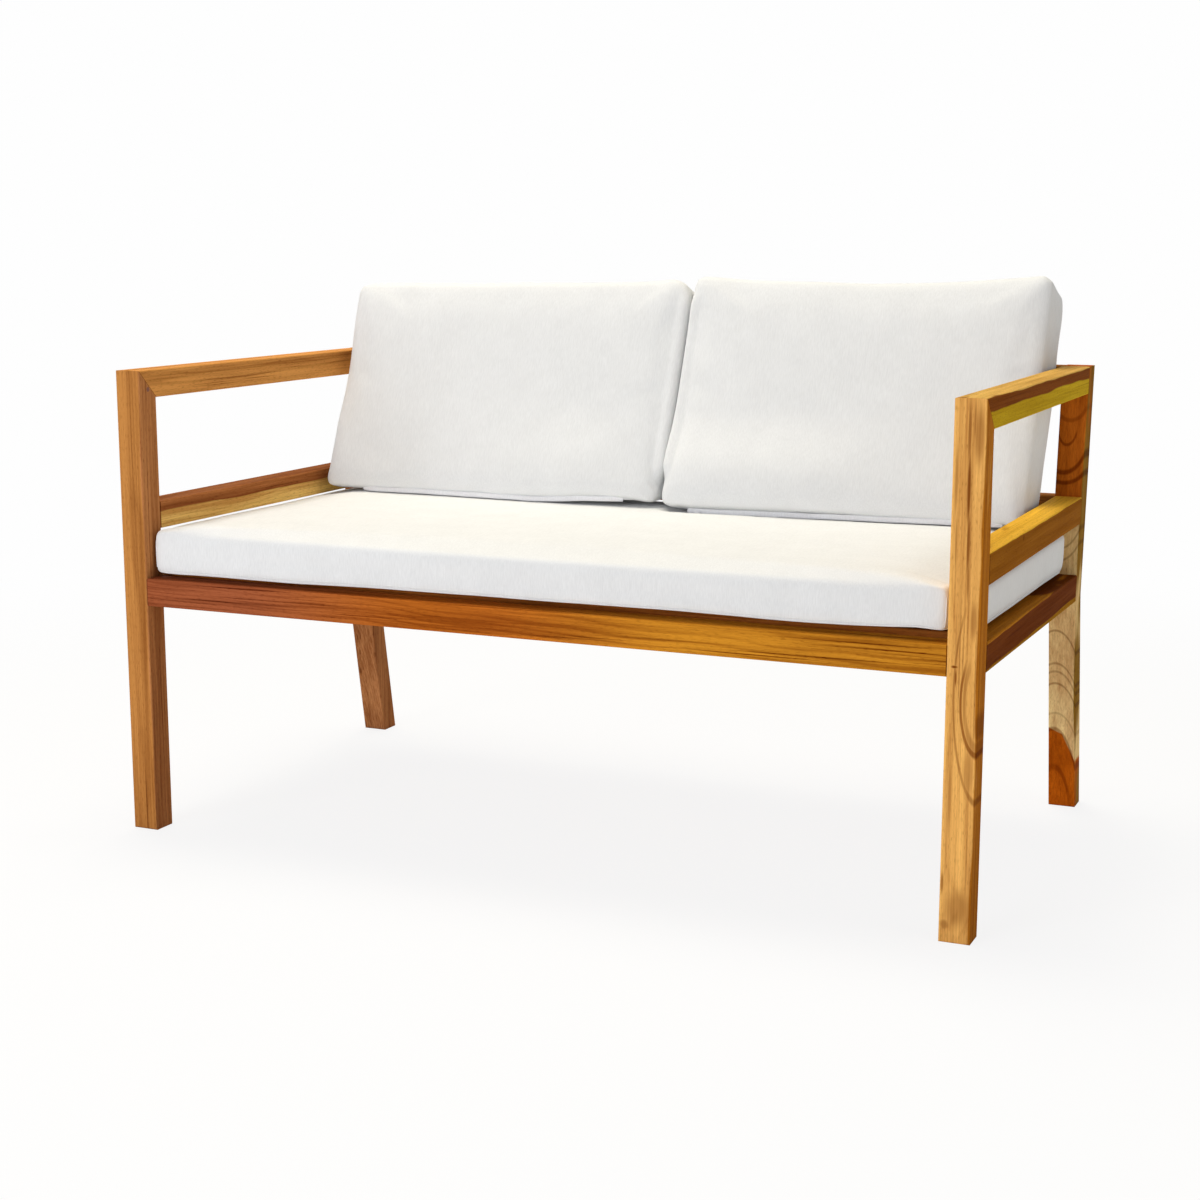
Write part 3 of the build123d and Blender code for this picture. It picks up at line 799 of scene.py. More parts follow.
def swell(piece, caps, sewn):
    """Blows the cover up. Sewn points stay; the caps say how far each other point may move."""
    start = points_of(piece.data)
    group = piece.vertex_groups.new(name="sewn")
    group.add([int(i) for i in np.nonzero(sewn)[0]], 1.0, "REPLACE")
    cloth = piece.modifiers.new("stuffing", "CLOTH")
    cloth.settings.use_pressure = True
    cloth.settings.uniform_pressure_force = stuffing_pressure
    cloth.settings.effector_weights.gravity = 0.0
    cloth.settings.vertex_group_mass = "sewn"
    cloth.settings.quality = 5
    cloth.point_cache.frame_start, cloth.point_cache.frame_end = 1, stuffing_steps
    for step in range(1, stuffing_steps + 1):
        bpy.context.scene.frame_set(step)
    graph = bpy.context.evaluated_depsgraph_get()
    swollen = points_of(piece.evaluated_get(graph).data)
    piece.modifiers.clear()
    piece.vertex_groups.clear()
    bpy.context.scene.frame_set(1)
    moved = swollen - start
    length = np.linalg.norm(moved, axis=1)
    share = caps * np.tanh(length / caps) / np.maximum(length, 1e-9)
    set_points(piece.data, start + moved * share[:, None])
    print(piece.name, len(start), "points, largest swell", round(float(length.max() / mm), 1), "mm")


# %% Outlines and creases
def through(line, places):
    """Values of a smooth line through a few (place, value) points."""
    at, values = np.array(line, float).T
    slopes = np.gradient(values, at)
    index = np.clip(np.searchsorted(at, places) - 1, 0, len(at) - 2)
    span = at[index + 1] - at[index]
    t = np.clip((places - at[index]) / span, 0, 1)
    near, far = (1 + 2 * t) * (1 - t) ** 2, t * t * (3 - 2 * t)
    bend = t * (1 - t) ** 2 * slopes[index] - t * t * (1 - t) * slopes[index + 1]
    return near * values[index] + far * values[index + 1] + span * bend


def reach_along(places, values, start, end, bins, pick):
    """The outermost value in each stretch of places, as a smooth line over the places."""
    edges = np.linspace(start, end, bins + 1)
    index = np.clip(np.digitize(places, edges) - 1, 0, bins - 1)
    inside = (places >= start) & (places <= end)
    filled = [i for i in range(bins) if np.any(inside & (index == i))]
    outer = np.interp(range(bins), filled, [pick(values[inside & (index == i)]) for i in filled])
    outer = np.convolve(np.pad(outer, 1, "edge"), (0.25, 0.5, 0.25), "valid")
    return np.interp(places, (edges[:-1] + edges[1:]) / 2, outer)


def smooth_step(low, high, values):
    t = np.clip((values - low) / (high - low), 0, 1)
    return t * t * (3 - 2 * t)


def crease(points, normals, start, end, depth, width):
    """Presses a soft furrow, or raises a fold where the depth is negative, along a line."""
    start, end = np.array(start), np.array(end)
    way = end - start
    share = np.clip(((points - start) @ way) / (way @ way), 0, 1)
    gap = np.linalg.norm(points - (start + share[:, None] * way), axis=1)
    fade = np.sin(np.pi * share) ** 0.7
    return points - normals * (depth * fade * np.exp(-(gap / width) ** 2))[:, None]


def ripples(points, height, length, seed):
    """Very shallow unevenness of the filling under the cloth."""
    offset = Vector((seed, seed, seed))
    return np.array([noise.fractal(Vector(p) / length + offset, 1.0, 2.0, 2) for p in points]) * height


# %% [markdown]
# ## Seat cushion
#
# One long boxed cushion of foam. It lies on the slats, between the front posts. Behind
# the posts its ends bulge out over the seat rails, below the side rails. Its front rolls
# over from the top in one piece of cloth, while both ends have a sewn rim from which the
# top rises again. The lower front edge hangs past the first slat and waves a little, and
# the feet of the two back cushions press a shallow dip into the top behind.

# %% Seat cushion sizes
seat_low, seat_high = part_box("seat_cushion_cover")
seat_voxel = 8 * mm
seat_start = 5 * mm                 # how much smaller the block starts on each side
seat_rim_drop = 4 * mm              # from the crown down to the sewn rim
seat_end = post_inner - 0.6 * mm    # half the length, between the posts
seat_end_behind = post_inner + 25 * mm
side_rail_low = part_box("side_rail_right")[0].z
slat_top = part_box("seat_slat_1")[1].z
slat_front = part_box("seat_slat_1")[0].y
slat_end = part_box("seat_slat_1")[1].x
end_rail_low, end_rail_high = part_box("seat_side_rail_right")
end_rail_fall = end_rail_high.z - end_rail_low.z - (half_width - post_inner)
seat_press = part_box("back_cushion_cover_left")[0].y + 4 * mm   # from here the feet press down
seat_middle = np.array((seat_low + seat_high) / 2)
seat_half = np.array((seat_high - seat_low) / 2) - seat_start
seat_hem_line = [
    (-590, 381.5), (-340, 382.5), (-180, 385), (65, 386), (190, 387.5), (400, 385.5),
    (527, 389), (556, 390.5), (575, 387.5), (590, 387),
]
foot_dip_line = [
    (-590, 0.2), (-200, 0.2), (22, 0.4), (36, 3.4), (56, 4.8), (110, 4.9), (166, 4.3), (278, 2.4),
    (367, 1.9), (461, 1.1), (590, 0.6),
]


def hem_height(x):
    """Height of the seat cushion's lower front edge."""
    return through(seat_hem_line, x / mm) * mm


def end_bulge(y):
    """How far the ends reach past the posts' inner faces, behind the posts."""
    share = smooth_step(post_back + 2 * mm, post_back + 60 * mm, y)
    share *= smooth_step(seat_high.y + 6 * mm, seat_high.y - 24 * mm, y)
    return (seat_end_behind - seat_end) * share


def seat_dip(x, y):
    """How deep the feet of the back cushions press into the seat."""
    deep = through(foot_dip_line, x / mm) * mm
    return deep * smooth_step(seat_press - 48 * mm, seat_press - 6 * mm, y)


def seat_floor(x, y):
    """Lowest height of the cover: on the slats, at the front hem, and over the end rails."""
    front = smooth_step(slat_front + 12 * mm, slat_front - 14 * mm, y)
    low = slat_top + 0.4 * mm + (hem_height(x) - slat_top - 0.4 * mm) * front
    past = smooth_step(slat_end + 1.5 * mm, slat_end + 6 * mm, np.abs(x))
    past *= smooth_step(post_back + 6 * mm, post_back + 26 * mm, y)
    along = np.clip((y - end_rail_low.y) / (end_rail_high.y - end_rail_low.y), 0, 1)
    rail = end_rail_high.z - end_rail_fall * along + 0.8 * mm
    return low + (rail - low) * past


# %% Seat cushion: stuffing
def stuff_seat_cushion():
    """The seat cushion's block, blown up but for its sewn edges."""
    block, points = block_points(44)
    radii = np.where(points < 0, (10, 13, 5), (8, 18, 9)) * mm
    piece = piece_from("seat_cushion", block, rounded(points, seat_half, radii) + seat_middle)
    remesh(piece, seat_voxel)
    start, normals = points_of(piece.data), normals_of(piece.data)
    local = start - seat_middle
    caps = normals ** 2 @ np.array((4, 4, 7)) * mm
    behind = smooth_step(post_back + 4 * mm, post_back + 50 * mm, start[:, 1])
    caps += normals[:, 0] ** 2 * behind * 10 * mm
    caps = np.where(local[:, 2] < 3 * mm - seat_half[2], 1.5 * mm, caps)
    at_end = np.abs(local[:, 0]) > seat_half[0] - 7 * mm
    rim = at_end & (np.abs(local[:, 2] - seat_half[2] + 9 * mm) < 5 * mm)
    base = (np.abs(local[:, 2] + seat_half[2] - 6 * mm) < 5 * mm) & (np.abs(normals[:, 2]) < 0.8)
    swell(piece, caps, rim | base)
    relax(piece, 0.5, 2)
    return piece


# %% Seat cushion: cut
def cut_seat_cushion(piece):
    """Eases the ends, the top and the front to the cut of the cover."""
    points = points_of(piece.data)
    x, y, z = points.T

    # Ends: between the posts, and bulging behind them below the side rails
    reach = reach_along(y, np.abs(x), seat_low.y + 20 * mm, seat_high.y - 24 * mm, 26, np.max)
    below = smooth_step(side_rail_low - 0.5 * mm, side_rail_low - 8 * mm, z)
    wanted = seat_end + end_bulge(y) * below
    near_end = smooth_step(seat_half[0] - 60 * mm, seat_half[0], np.abs(x))
    x = x + np.sign(x) * (wanted - reach) * near_end

    # Top: the crown, and the rim along both ends
    along, long = points[:, 0], seat_half[0]
    inside = long - np.abs(along - seat_middle[0])
    top = reach_along(along, z, 60 * mm - long, long - 60 * mm, 20, np.max)
    upper = smooth_step(seat_middle[2] - 10 * mm, seat_middle[2] + 30 * mm, z)
    z = z + upper * (seat_high.z - top) * smooth_step(0, 60 * mm, inside)
    rim_fall = seat_rim_drop * (1 - smooth_step(10 * mm, 62 * mm, inside))
    z = np.minimum(z, seat_high.z - rim_fall * smooth_step(-0.3, 0.4, normals_of(piece.data)[:, 2]))

    # Front: straight, and its lower edge follows the hem
    fore = reach_along(along, -y, 20 * mm - long, long - 20 * mm, 20, np.max)
    y = y + (seat_low.y + fore) * smooth_step(seat_middle[1], seat_low.y + 60 * mm, y)
    floor_z = seat_floor(x, y)
    lower = smooth_step(seat_middle[2] + 10 * mm, z.min(), z)
    z = np.maximum(z + lower * (floor_z - z.min()), floor_z)
    set_points(piece.data, np.stack([x, y, z], axis=1))
    refine(piece)


# %% Seat cushion: folds and what presses on it
seat_ripple = (0.9 * mm, 130 * mm, 4.0)           # height, length and seed
seat_folds = ((-1, 310 * mm), (1, 375 * mm), (-1, 100 * mm))      # end, and place behind the front


def press_seat_cushion(piece):
    """Draws the folds at the ends, and keeps off slats, back cushions, posts and rails."""
    points, normals = points_of(piece.data), normals_of(piece.data)
    points += normals * ripples(points, *seat_ripple)[:, None]
    for side, back in seat_folds:
        end = np.array((side * (seat_half[0] - 4 * mm), seat_low.y + back, seat_high.z - 10 * mm))
        inner = (side * (seat_half[0] - 70 * mm), end[1] - 22 * mm, end[2] + 9 * mm)
        points = crease(points, normals, end, inner, 1.6 * mm, 8 * mm)
    x, y, z = points.T
    z = np.maximum(z, seat_floor(x, y) - 0.3 * mm)
    pressed = smooth_step(seat_press - 26 * mm, seat_press, y)
    z = np.minimum(z, seat_high.z + 3 * mm - 3.4 * mm * pressed - seat_dip(x, y))
    between = smooth_step(post_back + 12 * mm, post_back + 2 * mm, y)
    narrow = (z > side_rail_low - 0.6 * mm) | (between > 0.5)
    limit = np.where(narrow, post_inner - 0.5 * mm, post_inner + 30 * mm)
    set_points(piece.data, np.stack([np.clip(x, -limit, limit), y, z], axis=1))


seat = stuff_seat_cushion()
cut_seat_cushion(seat)
press_seat_cushion(seat)
seat.data.materials.append(woven_cloth("acrylic_cloth_seat", 0.0))
print("seat cushion mm:", *reach_of(seat), "points:", len(seat.data.vertices))


# %% [markdown]
# ## Back cushions
#
# Two loose cushions of foam wrapped in fibre. They stand on the seat cushion and lean on
# the top back rail, so their bottoms are cut level and their backs are pressed flat along
# the rail. Their fronts are full, their upper corners stand up in small ears, the cloth
# between the ears sags a little, their lower corners lift off the seat, and the two press
# each other flat in the middle.

# %% Back cushion sizes
back_lean = math.radians(21.5)
back_up = np.array((0, math.sin(back_lean), math.cos(back_lean)))
back_out = np.array((0, -math.cos(back_lean), math.sin(back_lean)))
back_voxel = 6.5 * mm
back_start = 5 * mm
back_thick = 101 * mm              # from the back to the front's sewn edge
back_crown = 10 * mm
seat_rest = seat_high.z - 0.2 * mm
rail_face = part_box("back_rail_top")[0].y
rail_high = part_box("back_rail_top")[1].z
rail_gap = 0.4 * mm
back_reach = (rail_high - seat_rest) * math.tan(back_lean)
back_base = np.array((0, rail_face - rail_gap - back_reach, seat_rest))
rail_along = (rail_high - seat_rest) / math.cos(back_lean)
join_x = (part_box("back_cushion_cover_left")[1].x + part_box("back_cushion_cover_right")[0].x) / 2

# The cut of each cover in mm: its two ends by height, its top edge, how far its foot lifts
# and its toe reaches forwards along x, and folds as x, z, x, z, depth and width
back_cuts = {
    "left": {
        "ends": [
            (-40, -578, 20), (0, -578, 20), (70, -577, 24), (160, -573.5, 25), (250, -577, 25),
            (340, -579, 20),
        ],
        "top": [
            (-575, 323), (-545, 326.5), (-514, 328), (-404, 328), (-300, 329), (-200, 330),
            (-100, 331), (-33, 334.5), (-8, 337), (8, 333), (24, 326),
        ],
        "foot": [
            (-575, 11), (-545, 8), (-500, 3), (-440, 1), (-300, 0.6), (-50, 0.4), (-10, 3), (24, 8),
        ],
        "folds": [
            (3, 497, 12, 484, 1.8, 5), (15, 498, 10, 484, 1.3, 4), (-10, 462, 20, 483, -2.2, 5),
            (-16, 470, 17, 492, 1.3, 4), (22, 744, 0, 722, 1.1, 5), (21, 722, 2, 706, 0.9, 5),
        ],
        "toe": [(-575, 0), (-300, 0), (-180, 7), (-100, 10), (-40, 4), (24, 0)],
    },
    "right": {
        "ends": [
            (-40, 22, 581), (0, 22, 583), (80, 24, 584), (200, 27, 585.5), (260, 25, 584.5),
            (300, 23, 585), (345, 21, 583),
        ],
        "top": [
            (22, 336), (38, 342), (54, 342), (115, 338.5), (196, 336), (275, 335), (353, 336),
            (430, 339), (488, 342.5), (546, 347), (569, 349), (585, 347),
        ],
        "foot": [(22, 9), (34, 3.5), (50, 0.5), (300, 0.2), (560, 0.4), (585, 3)],
        "folds": [(52, 484, 66, 466, 1.6, 8), (30, 500, 40, 470, -1.2, 8)],
        "toe": [(22, 11), (60, 16), (110, 17), (280, 14), (380, 3), (585, 0)],
    },
}


def back_frame(points):
    """A point's place along the cushion, up its slope and out from its back."""
    off = points - back_base
    return off[:, 0], off @ back_up, off @ back_out


def back_place(a, b, c):
    return back_base + np.outer(a, (1, 0, 0)) + np.outer(b, back_up) + np.outer(c, back_out)


# %% Back cushions: stuffing
def stuff_back_cushion(side):
    """A back cushion's block, cut level at its foot and blown up but for its rear edges."""
    cut = back_cuts[side]
    places = np.array(cut["ends"], float)
    left, right = places[:, 1].min() * mm + back_start, places[:, 2].max() * mm - back_start
    height = np.array(cut["top"])[:, 1].mean() * mm - back_start
    thick = back_thick - 3 * mm
    block, points = block_points(40)
    radii = np.where(points < 0, (15, 15, 12), (15, 14, 18)) * mm
    joins = (points[:, 0] > 0) == (side == "left")
    radii[:, 2] = np.where(joins, 11 * mm, radii[:, 2])
    radii[:, 1] = np.where(joins & (points[:, 1] < 0), 12 * mm, radii[:, 1])
    placed = rounded(points, np.array((right - left, height, thick)) / 2, radii)
    swing = 1 - points[:, :2] ** 4
    bulge = swing[:, 0] * swing[:, 1] * (back_crown - 4 * mm)
    placed[:, 2] += np.where(points[:, 2] > 0, bulge, 0)
    a, c = placed[:, 0] + (left + right) / 2, placed[:, 2] + thick / 2 + 3 * mm
    share = placed[:, 1] / height + 0.5
    foot = 5 * mm - c * math.tan(back_lean)
    piece = piece_from(f"back_cushion_{side}", block, back_place(a, foot + share * (height - foot), c))
    remesh(piece, back_voxel)
    start, normals = points_of(piece.data), normals_of(piece.data)
    c, out = back_frame(start)[2], normals @ back_out
    ways = np.stack([normals[:, 0], normals @ back_up, out], axis=1) ** 2
    caps = np.where(out < -0.3, 5 * mm, ways @ np.array((2, 2, 4)) * mm)
    rear = (c < 12 * mm) & (c > 4 * mm) & (out > -0.85)
    base = (start[:, 2] < seat_rest + 9 * mm) & (normals[:, 2] > -0.9)
    swell(piece, caps, rear | base)
    relax(piece, 0.5, 3)
    refine(piece)
    return piece, (left, right, height)


# %% Back cushions: cut
def cut_back_cushion(piece, cut, left, right, height):
    """Eases the ends and the top to the cut of the cover, and the front to its crown and toe."""
    places = np.array(cut["ends"], float)
    a, b, c = back_frame(points_of(piece.data))
    low, high = (reach_along(b, a, 30 * mm, height - 40 * mm, 18, pick) for pick in (np.min, np.max))
    low_wanted, high_wanted = (through(places[:, (0, end)], b / mm) * mm for end in (1, 2))
    a = low_wanted + (a - low) / (high - low) * (high_wanted - low_wanted)
    top = reach_along(a, b, left + 20 * mm, right - 20 * mm, 20, np.max)
    b = b + (through(cut["top"], a / mm) * mm - top) * smooth_step(0.35 * height, 0.95 * height, b)
    fore = smooth_step(back_thick / 2, back_thick, c)
    c = c + (back_thick + back_crown - c.max()) * fore
    c = c + through(cut["toe"], a / mm) * mm * fore * smooth_step(120 * mm, 10 * mm, b)
    set_points(piece.data, back_place(a, b, c))


# %% Back cushions: folds and the join
back_ripple = {"left": (1.1 * mm, 110 * mm, 9.0), "right": (1.1 * mm, 110 * mm, 2.0)}
join_gap = 0.3 * mm                # from the join's plane to each cover
join_round = 22 * mm               # how far the tighter edge beside the neighbour reaches
join_power = 3.5                   # 2 is a round edge, and more is squarer
join_strip = (18 * mm, 27 * mm)    # the front's depth is read here, just beside the edge
join_foot, join_head = (4 * mm, 30 * mm), (325 * mm, 285 * mm)


def fold_back_cushion(points, normals, folds):
    """Draws each fold between the two front points nearest to its ends."""
    x, _, z = points.T
    behind = np.where(back_frame(points)[2] > back_thick / 2, 0, 1)
    for *places, depth, width in folds:
        ends = [
            points[np.argmin((x - x_at * mm) ** 2 + (z - z_at * mm) ** 2 + behind)]
            for x_at, z_at in (places[:2], places[2:])
        ]
        points = crease(points, normals, *ends, depth * mm, width * mm)
    return points


def squared(near, deep):
    """Turns the round edge between two faces into a tighter one. Both distances are from the faces."""
    inside = (near < join_round) & (deep < join_round)
    p, q = (np.clip(1 - gap / join_round, 0, 1.2) for gap in (near, deep))
    size = np.maximum((p ** join_power + q ** join_power) ** (1 / join_power), 1e-6)
    near = np.where(inside, join_round * (1 - p / size), near)
    return near, np.where(inside, join_round * (1 - q / size), deep)


def join_back_cushion(a, b, c, side):
    """Presses the inner end flat on the join, with a tighter front edge but at foot and head."""
    sign = 1 if side == "left" else -1
    near = np.maximum(sign * (join_x - a) - join_gap, 0)
    front = c > back_thick / 2
    strip = (near > join_strip[0]) & (near < join_strip[1]) & front
    face = reach_along(b[strip], c[strip], 20 * mm, 310 * mm, 14, np.max)
    order = np.argsort(b[strip])
    face = np.interp(b, b[strip][order], face[order])
    tight, deep = squared(near, face - c)
    share = smooth_step(join_round, 0.45 * join_round, near) * front
    share *= smooth_step(*join_foot, b) * smooth_step(*join_head, b)
    near, c = near + (tight - near) * share, c + (face - deep - c) * share
    return join_x - sign * (near + join_gap), c


# %% Back cushions: what they lean and stand on
def press_back_cushion(piece, side):
    """Presses the cushion on what it touches: rail, neighbour and seat."""
    cut = back_cuts[side]
    points = fold_back_cushion(points_of(piece.data), normals_of(piece.data), cut["folds"])
    points += normals_of(piece.data) * ripples(points, *back_ripple[side])[:, None]
    a, b, c = back_frame(points)
    away = 1 - np.exp(-((b - rail_along) / (34 * mm)) ** 2)
    c = np.maximum(c, -5 * mm * away)
    a, c = join_back_cushion(a, b, c, side)
    x, y, z = back_place(a, b, c).T
    rest = seat_rest - seat_dip(x, y)
    lift = through(cut["foot"], x / mm) * mm * smooth_step(0.75, 1.0, c / back_thick)
    sink = z.min() - rest - 0.3 * mm
    z = z - sink * smooth_step(seat_rest + 70 * mm, seat_rest + 8 * mm, z)
    z = np.maximum(z, rest + 0.3 * mm + lift)
    set_points(piece.data, np.stack([x, y, z], axis=1))


backs = {}
for side, cut in back_cuts.items():
    piece, sizes = stuff_back_cushion(side)
    cut_back_cushion(piece, cut, *sizes)
    backs[side] = piece
for side, piece in backs.items():
    press_back_cushion(piece, side)
    piece.data.materials.append(woven_cloth(f"acrylic_cloth_back_{side}", back_lean))
    print(piece.name, "mm:", *reach_of(piece), "points:", len(piece.data.vertices))


# %% [markdown]
# ## Seams, piping and stitches
#
# The seat cushion has a thin piping along its lower edge and a sewn rim round each end.
# The back cushions have a seam where the side band meets the back panel, with a row of
# top stitches, and along the lower front edge a pale flap that covers the zip. These
# lines lie on the finished cloth: each starts as a rough path, which is then moved to
# the nearest place on the cover. Geometry Nodes turn a path into a cord or into
# stitches, so that their size and spacing are inputs of one small tree. A small tab on
# the right flap's inner end is the zip's pull.

# %% Paths on the cloth
def snapped(piece, path, proud):
    """The path moved onto the cover, and then this far out of it."""
    tree = BVHTree.FromObject(piece, bpy.context.evaluated_depsgraph_get())
    spots = []
    for spot in path:
        near, normal, _, _ = tree.find_nearest(Vector(spot))
        spots.append(near + normal * proud)
    return np.array([tuple(s) for s in spots])


def evened(path, step, closed=False):
    """A path with its points an even step apart."""
    path = np.vstack([path, path[:1]]) if closed else path
    lengths = np.concatenate([[0], np.cumsum(np.linalg.norm(np.diff(path, axis=0), axis=1))])
    places = np.linspace(0, lengths[-1], max(2, int(round(lengths[-1] / step)) + 1))
    even = np.stack([np.interp(places, lengths, path[:, i]) for i in range(3)], axis=1)
    return even[:-1] if closed else even


def eased(path, repeat, closed=False):
    """A path with its small jumps averaged away."""
    for _ in range(repeat):
        mode = "wrap" if closed else "edge"
        wide = np.pad(path, ((1, 1), (0, 0)), mode)
        path = wide[:-2] * 0.25 + wide[1:-1] * 0.5 + wide[2:] * 0.25
    return path


def path_piece(name, path, closed=False):
    """A wire mesh along a path, for Geometry Nodes to work on."""
    mesh = bpy.data.meshes.new(name)
    edges = [(i, i + 1) for i in range(len(path) - 1)] + ([(len(path) - 1, 0)] if closed else [])
    mesh.from_pydata([tuple(p) for p in path], edges, [])
    piece = bpy.data.objects.new(name, mesh)
    bpy.context.scene.collection.objects.link(piece)
    return piece


# %% Geometry Nodes for cords and stitches
def new_tree(name, sizes):
    """An empty geometry tree with named sizes and a material as inputs."""
    tree = bpy.data.node_groups.new(name, "GeometryNodeTree")
    tree.interface.new_socket("Geometry", in_out="INPUT", socket_type="NodeSocketGeometry")
    for size, value in sizes.items():
        socket = tree.interface.new_socket(size, in_out="INPUT", socket_type="NodeSocketFloat")
        socket.default_value = value
    tree.interface.new_socket("Material", in_out="INPUT", socket_type="NodeSocketMaterial")
    tree.interface.new_socket("Geometry", in_out="OUTPUT", socket_type="NodeSocketGeometry")
    return tree, tree.nodes.new("NodeGroupInput").outputs


def end_tree(tree, geometry, material):
    """Ends the tree in a real mesh with its material."""
    smooth = add(tree, "GeometryNodeSetShadeSmooth", {"Geometry": geometry})
    real = add(tree, "GeometryNodeRealizeInstances", {"Geometry": smooth})
    dressed = add(tree, "GeometryNodeSetMaterial", {"Geometry": real, "Material": material})
    tree.links.new(dressed.outputs[0], tree.nodes.new("NodeGroupOutput").inputs[0])


cord_tree, inputs = new_tree("cord_along_path", {"Radius": 1.5 * mm, "Flatness": 1.0})
line = add(cord_tree, "GeometryNodeMeshToCurve", {"Mesh": inputs["Geometry"]})
ring = add(cord_tree, "GeometryNodeCurvePrimitiveCircle", {"Resolution": 10, "Radius": inputs["Radius"]})
squeeze = add(cord_tree, "CombineXYZ", {"X": inputs["Flatness"], "Y": 1.0, "Z": 1.0})
oval = add(cord_tree, "GeometryNodeTransform", {"Geometry": ring.outputs["Curve"], "Scale": squeeze})
cord = add(cord_tree, "GeometryNodeCurveToMesh", {
    "Curve": line, "Profile Curve": oval, "Fill Caps": True,
})
end_tree(cord_tree, cord.outputs[0], inputs["Material"])

stitch_tree, inputs = new_tree("stitches_along_path", {
    "Pitch": 4.5 * mm, "Length": 3.0 * mm, "Width": 0.8 * mm,
})
line = add(stitch_tree, "GeometryNodeMeshToCurve", {"Mesh": inputs["Geometry"]})
row = add(stitch_tree, "GeometryNodeResampleCurve", {
    "Curve": line, "Length": inputs["Pitch"],
}, mode="LENGTH")
way = add(stitch_tree, "GeometryNodeInputTangent")
turn = add(stitch_tree, "FunctionNodeAlignRotationToVector", {"Vector": way}, axis="X")
bead = add(stitch_tree, "GeometryNodeMeshIcoSphere", {"Radius": 0.5, "Subdivisions": 2})
shape = add(stitch_tree, "CombineXYZ", [inputs["Length"], inputs["Width"], inputs["Width"]])
placed = add(stitch_tree, "GeometryNodeInstanceOnPoints", {
    "Points": row, "Instance": bead.outputs["Mesh"], "Rotation": turn, "Scale": shape,
})
end_tree(stitch_tree, placed.outputs[0], inputs["Material"])


def grown(piece, tree, material, **sizes):
    """Runs a tree on a path piece and keeps the result as a plain mesh."""
    modifier = piece.modifiers.new(tree.name, "NODES")
    modifier.node_group = tree
    items = tree.interface.items_tree
    sockets = {item.name: item.identifier for item in items if item.in_out == "INPUT"}
    modifier[sockets["Material"]] = material
    for size, value in sizes.items():
        modifier[sockets[size]] = value
    bake_modifiers(piece)
    return piece


# %% Thread and piping materials
# Bonded polyester thread is twisted, smooth and a little shiny
thread_tones = linear("#EFEEEA"), linear("#CFCDC6")
thread = specked("bonded_polyester_thread", 0.8, 1.0, thread_tones, (0.55, 0.55), relief=0.4)
piping_cloth = woven_cloth("acrylic_cloth_piping", 0.0, "#E2E2E2")
# The flap's cloth is lighter than the cover's: painted light on the flat strip at the foot
flap_cloth_painted_light = woven_cloth("acrylic_cloth_zip_flap_painted_light", 0.0, "#ECECEE")

# %% Laying trim on a cushion
piping_radius = 1.5 * mm
seam_radius = 0.9 * mm
flap_radius, flap_flatness = 4.4 * mm, 0.4


def laid(name, cushion, path, proud, repeat, closed=False):
    """A path piece that lies on the cushion's cover, this far proud of it."""
    return path_piece(name, eased(snapped(cushion, path, proud), repeat, closed), closed)


# %% Seat cushion piping
def level_loop(x_half, y_low, y_high, corner):
    """A rounded rectangle, with its points an even step apart."""
    points = []
    for cx, cy, start in (
        (x_half - corner, y_low + corner, -90), (x_half - corner, y_high - corner, 0),
        (corner - x_half, y_high - corner, 90), (corner - x_half, y_low + corner, 180),
    ):
        for angle in np.radians(np.linspace(start, start + 90, 7)):
            points.append((cx + corner * math.cos(angle), cy + corner * math.sin(angle), 0.0))
    return evened(np.array(points), 9 * mm, closed=True)


def hem_level(x, y):
    """Height of the piping: along the front hem, and else just over what the cover lies on."""
    over = smooth_step(slat_front + 12 * mm, slat_front - 14 * mm, y)
    return (hem_height(x) + 1.2 * mm) * over + (seat_floor(x, y) + 1.8 * mm) * (1 - over)


path = level_loop(seat_end, seat_low.y, seat_high.y - 5 * mm, 14 * mm)
path[:, 0] += np.sign(path[:, 0]) * end_bulge(path[:, 1]) * smooth_step(0.5, 0.58, np.abs(path[:, 0]))
path[:, 2] = hem_level(path[:, 0], path[:, 1])
path = eased(snapped(seat, path, 0.5 * mm), 2, closed=True)
room = post_inner - 0.6 * mm - piping_radius
between_posts = path[:, 1] < post_back + 8 * mm
path[:, 0] = np.where(between_posts, np.clip(path[:, 0], -room, room), path[:, 0])
piece = path_piece("seat_cushion_piping", path, closed=True)
seat_pieces = [grown(piece, cord_tree, piping_cloth, Radius=piping_radius)]

# %% Seat cushion end seams
rim = seat_high.z - seat_rim_drop - 2 * mm
front, rear = seat_low.y + 3 * mm, seat_high.y - 8 * mm
for side, sign in (("left", -1), ("right", 1)):
    rough = np.array([
        (sign * (seat_end - 3 * mm), y, z) for y, z in (
            (front, slat_top + 6 * mm), (front, rim - 12 * mm), (front + 10 * mm, rim),
            (rear - 14 * mm, rim), (rear, rim - 14 * mm), (rear, slat_top + 8 * mm),
        )
    ])
    piece = laid(f"seat_cushion_end_seam_{side}", seat, evened(rough, 7 * mm), 0.1 * mm, 3)
    seat_pieces.append(grown(piece, cord_tree, piping_cloth, Radius=seam_radius))
print("seat cushion trim:", [piece.name for piece in seat_pieces])

# %% Paths of the seams and stitches
seam_out, stitches_out = 7 * mm, 13 * mm          # distances from the cushion's back


def band_path(side, out):
    """A path round the side band, at one distance out from the back."""
    cut = back_cuts[side]
    ends, top = np.array(cut["ends"], float) * mm, np.array(cut["top"], float) * mm
    foot = [(ends[0, 2] - 20 * mm, 0.0), (ends[0, 1] + 20 * mm, 0.0)]
    outline = np.vstack([ends[1:, (1, 0)], top[1:-1], ends[:0:-1, (2, 0)], foot])
    rough = back_place(outline[:, 0], outline[:, 1], np.full(len(outline), out))
    return evened(rough, 8 * mm, closed=True)


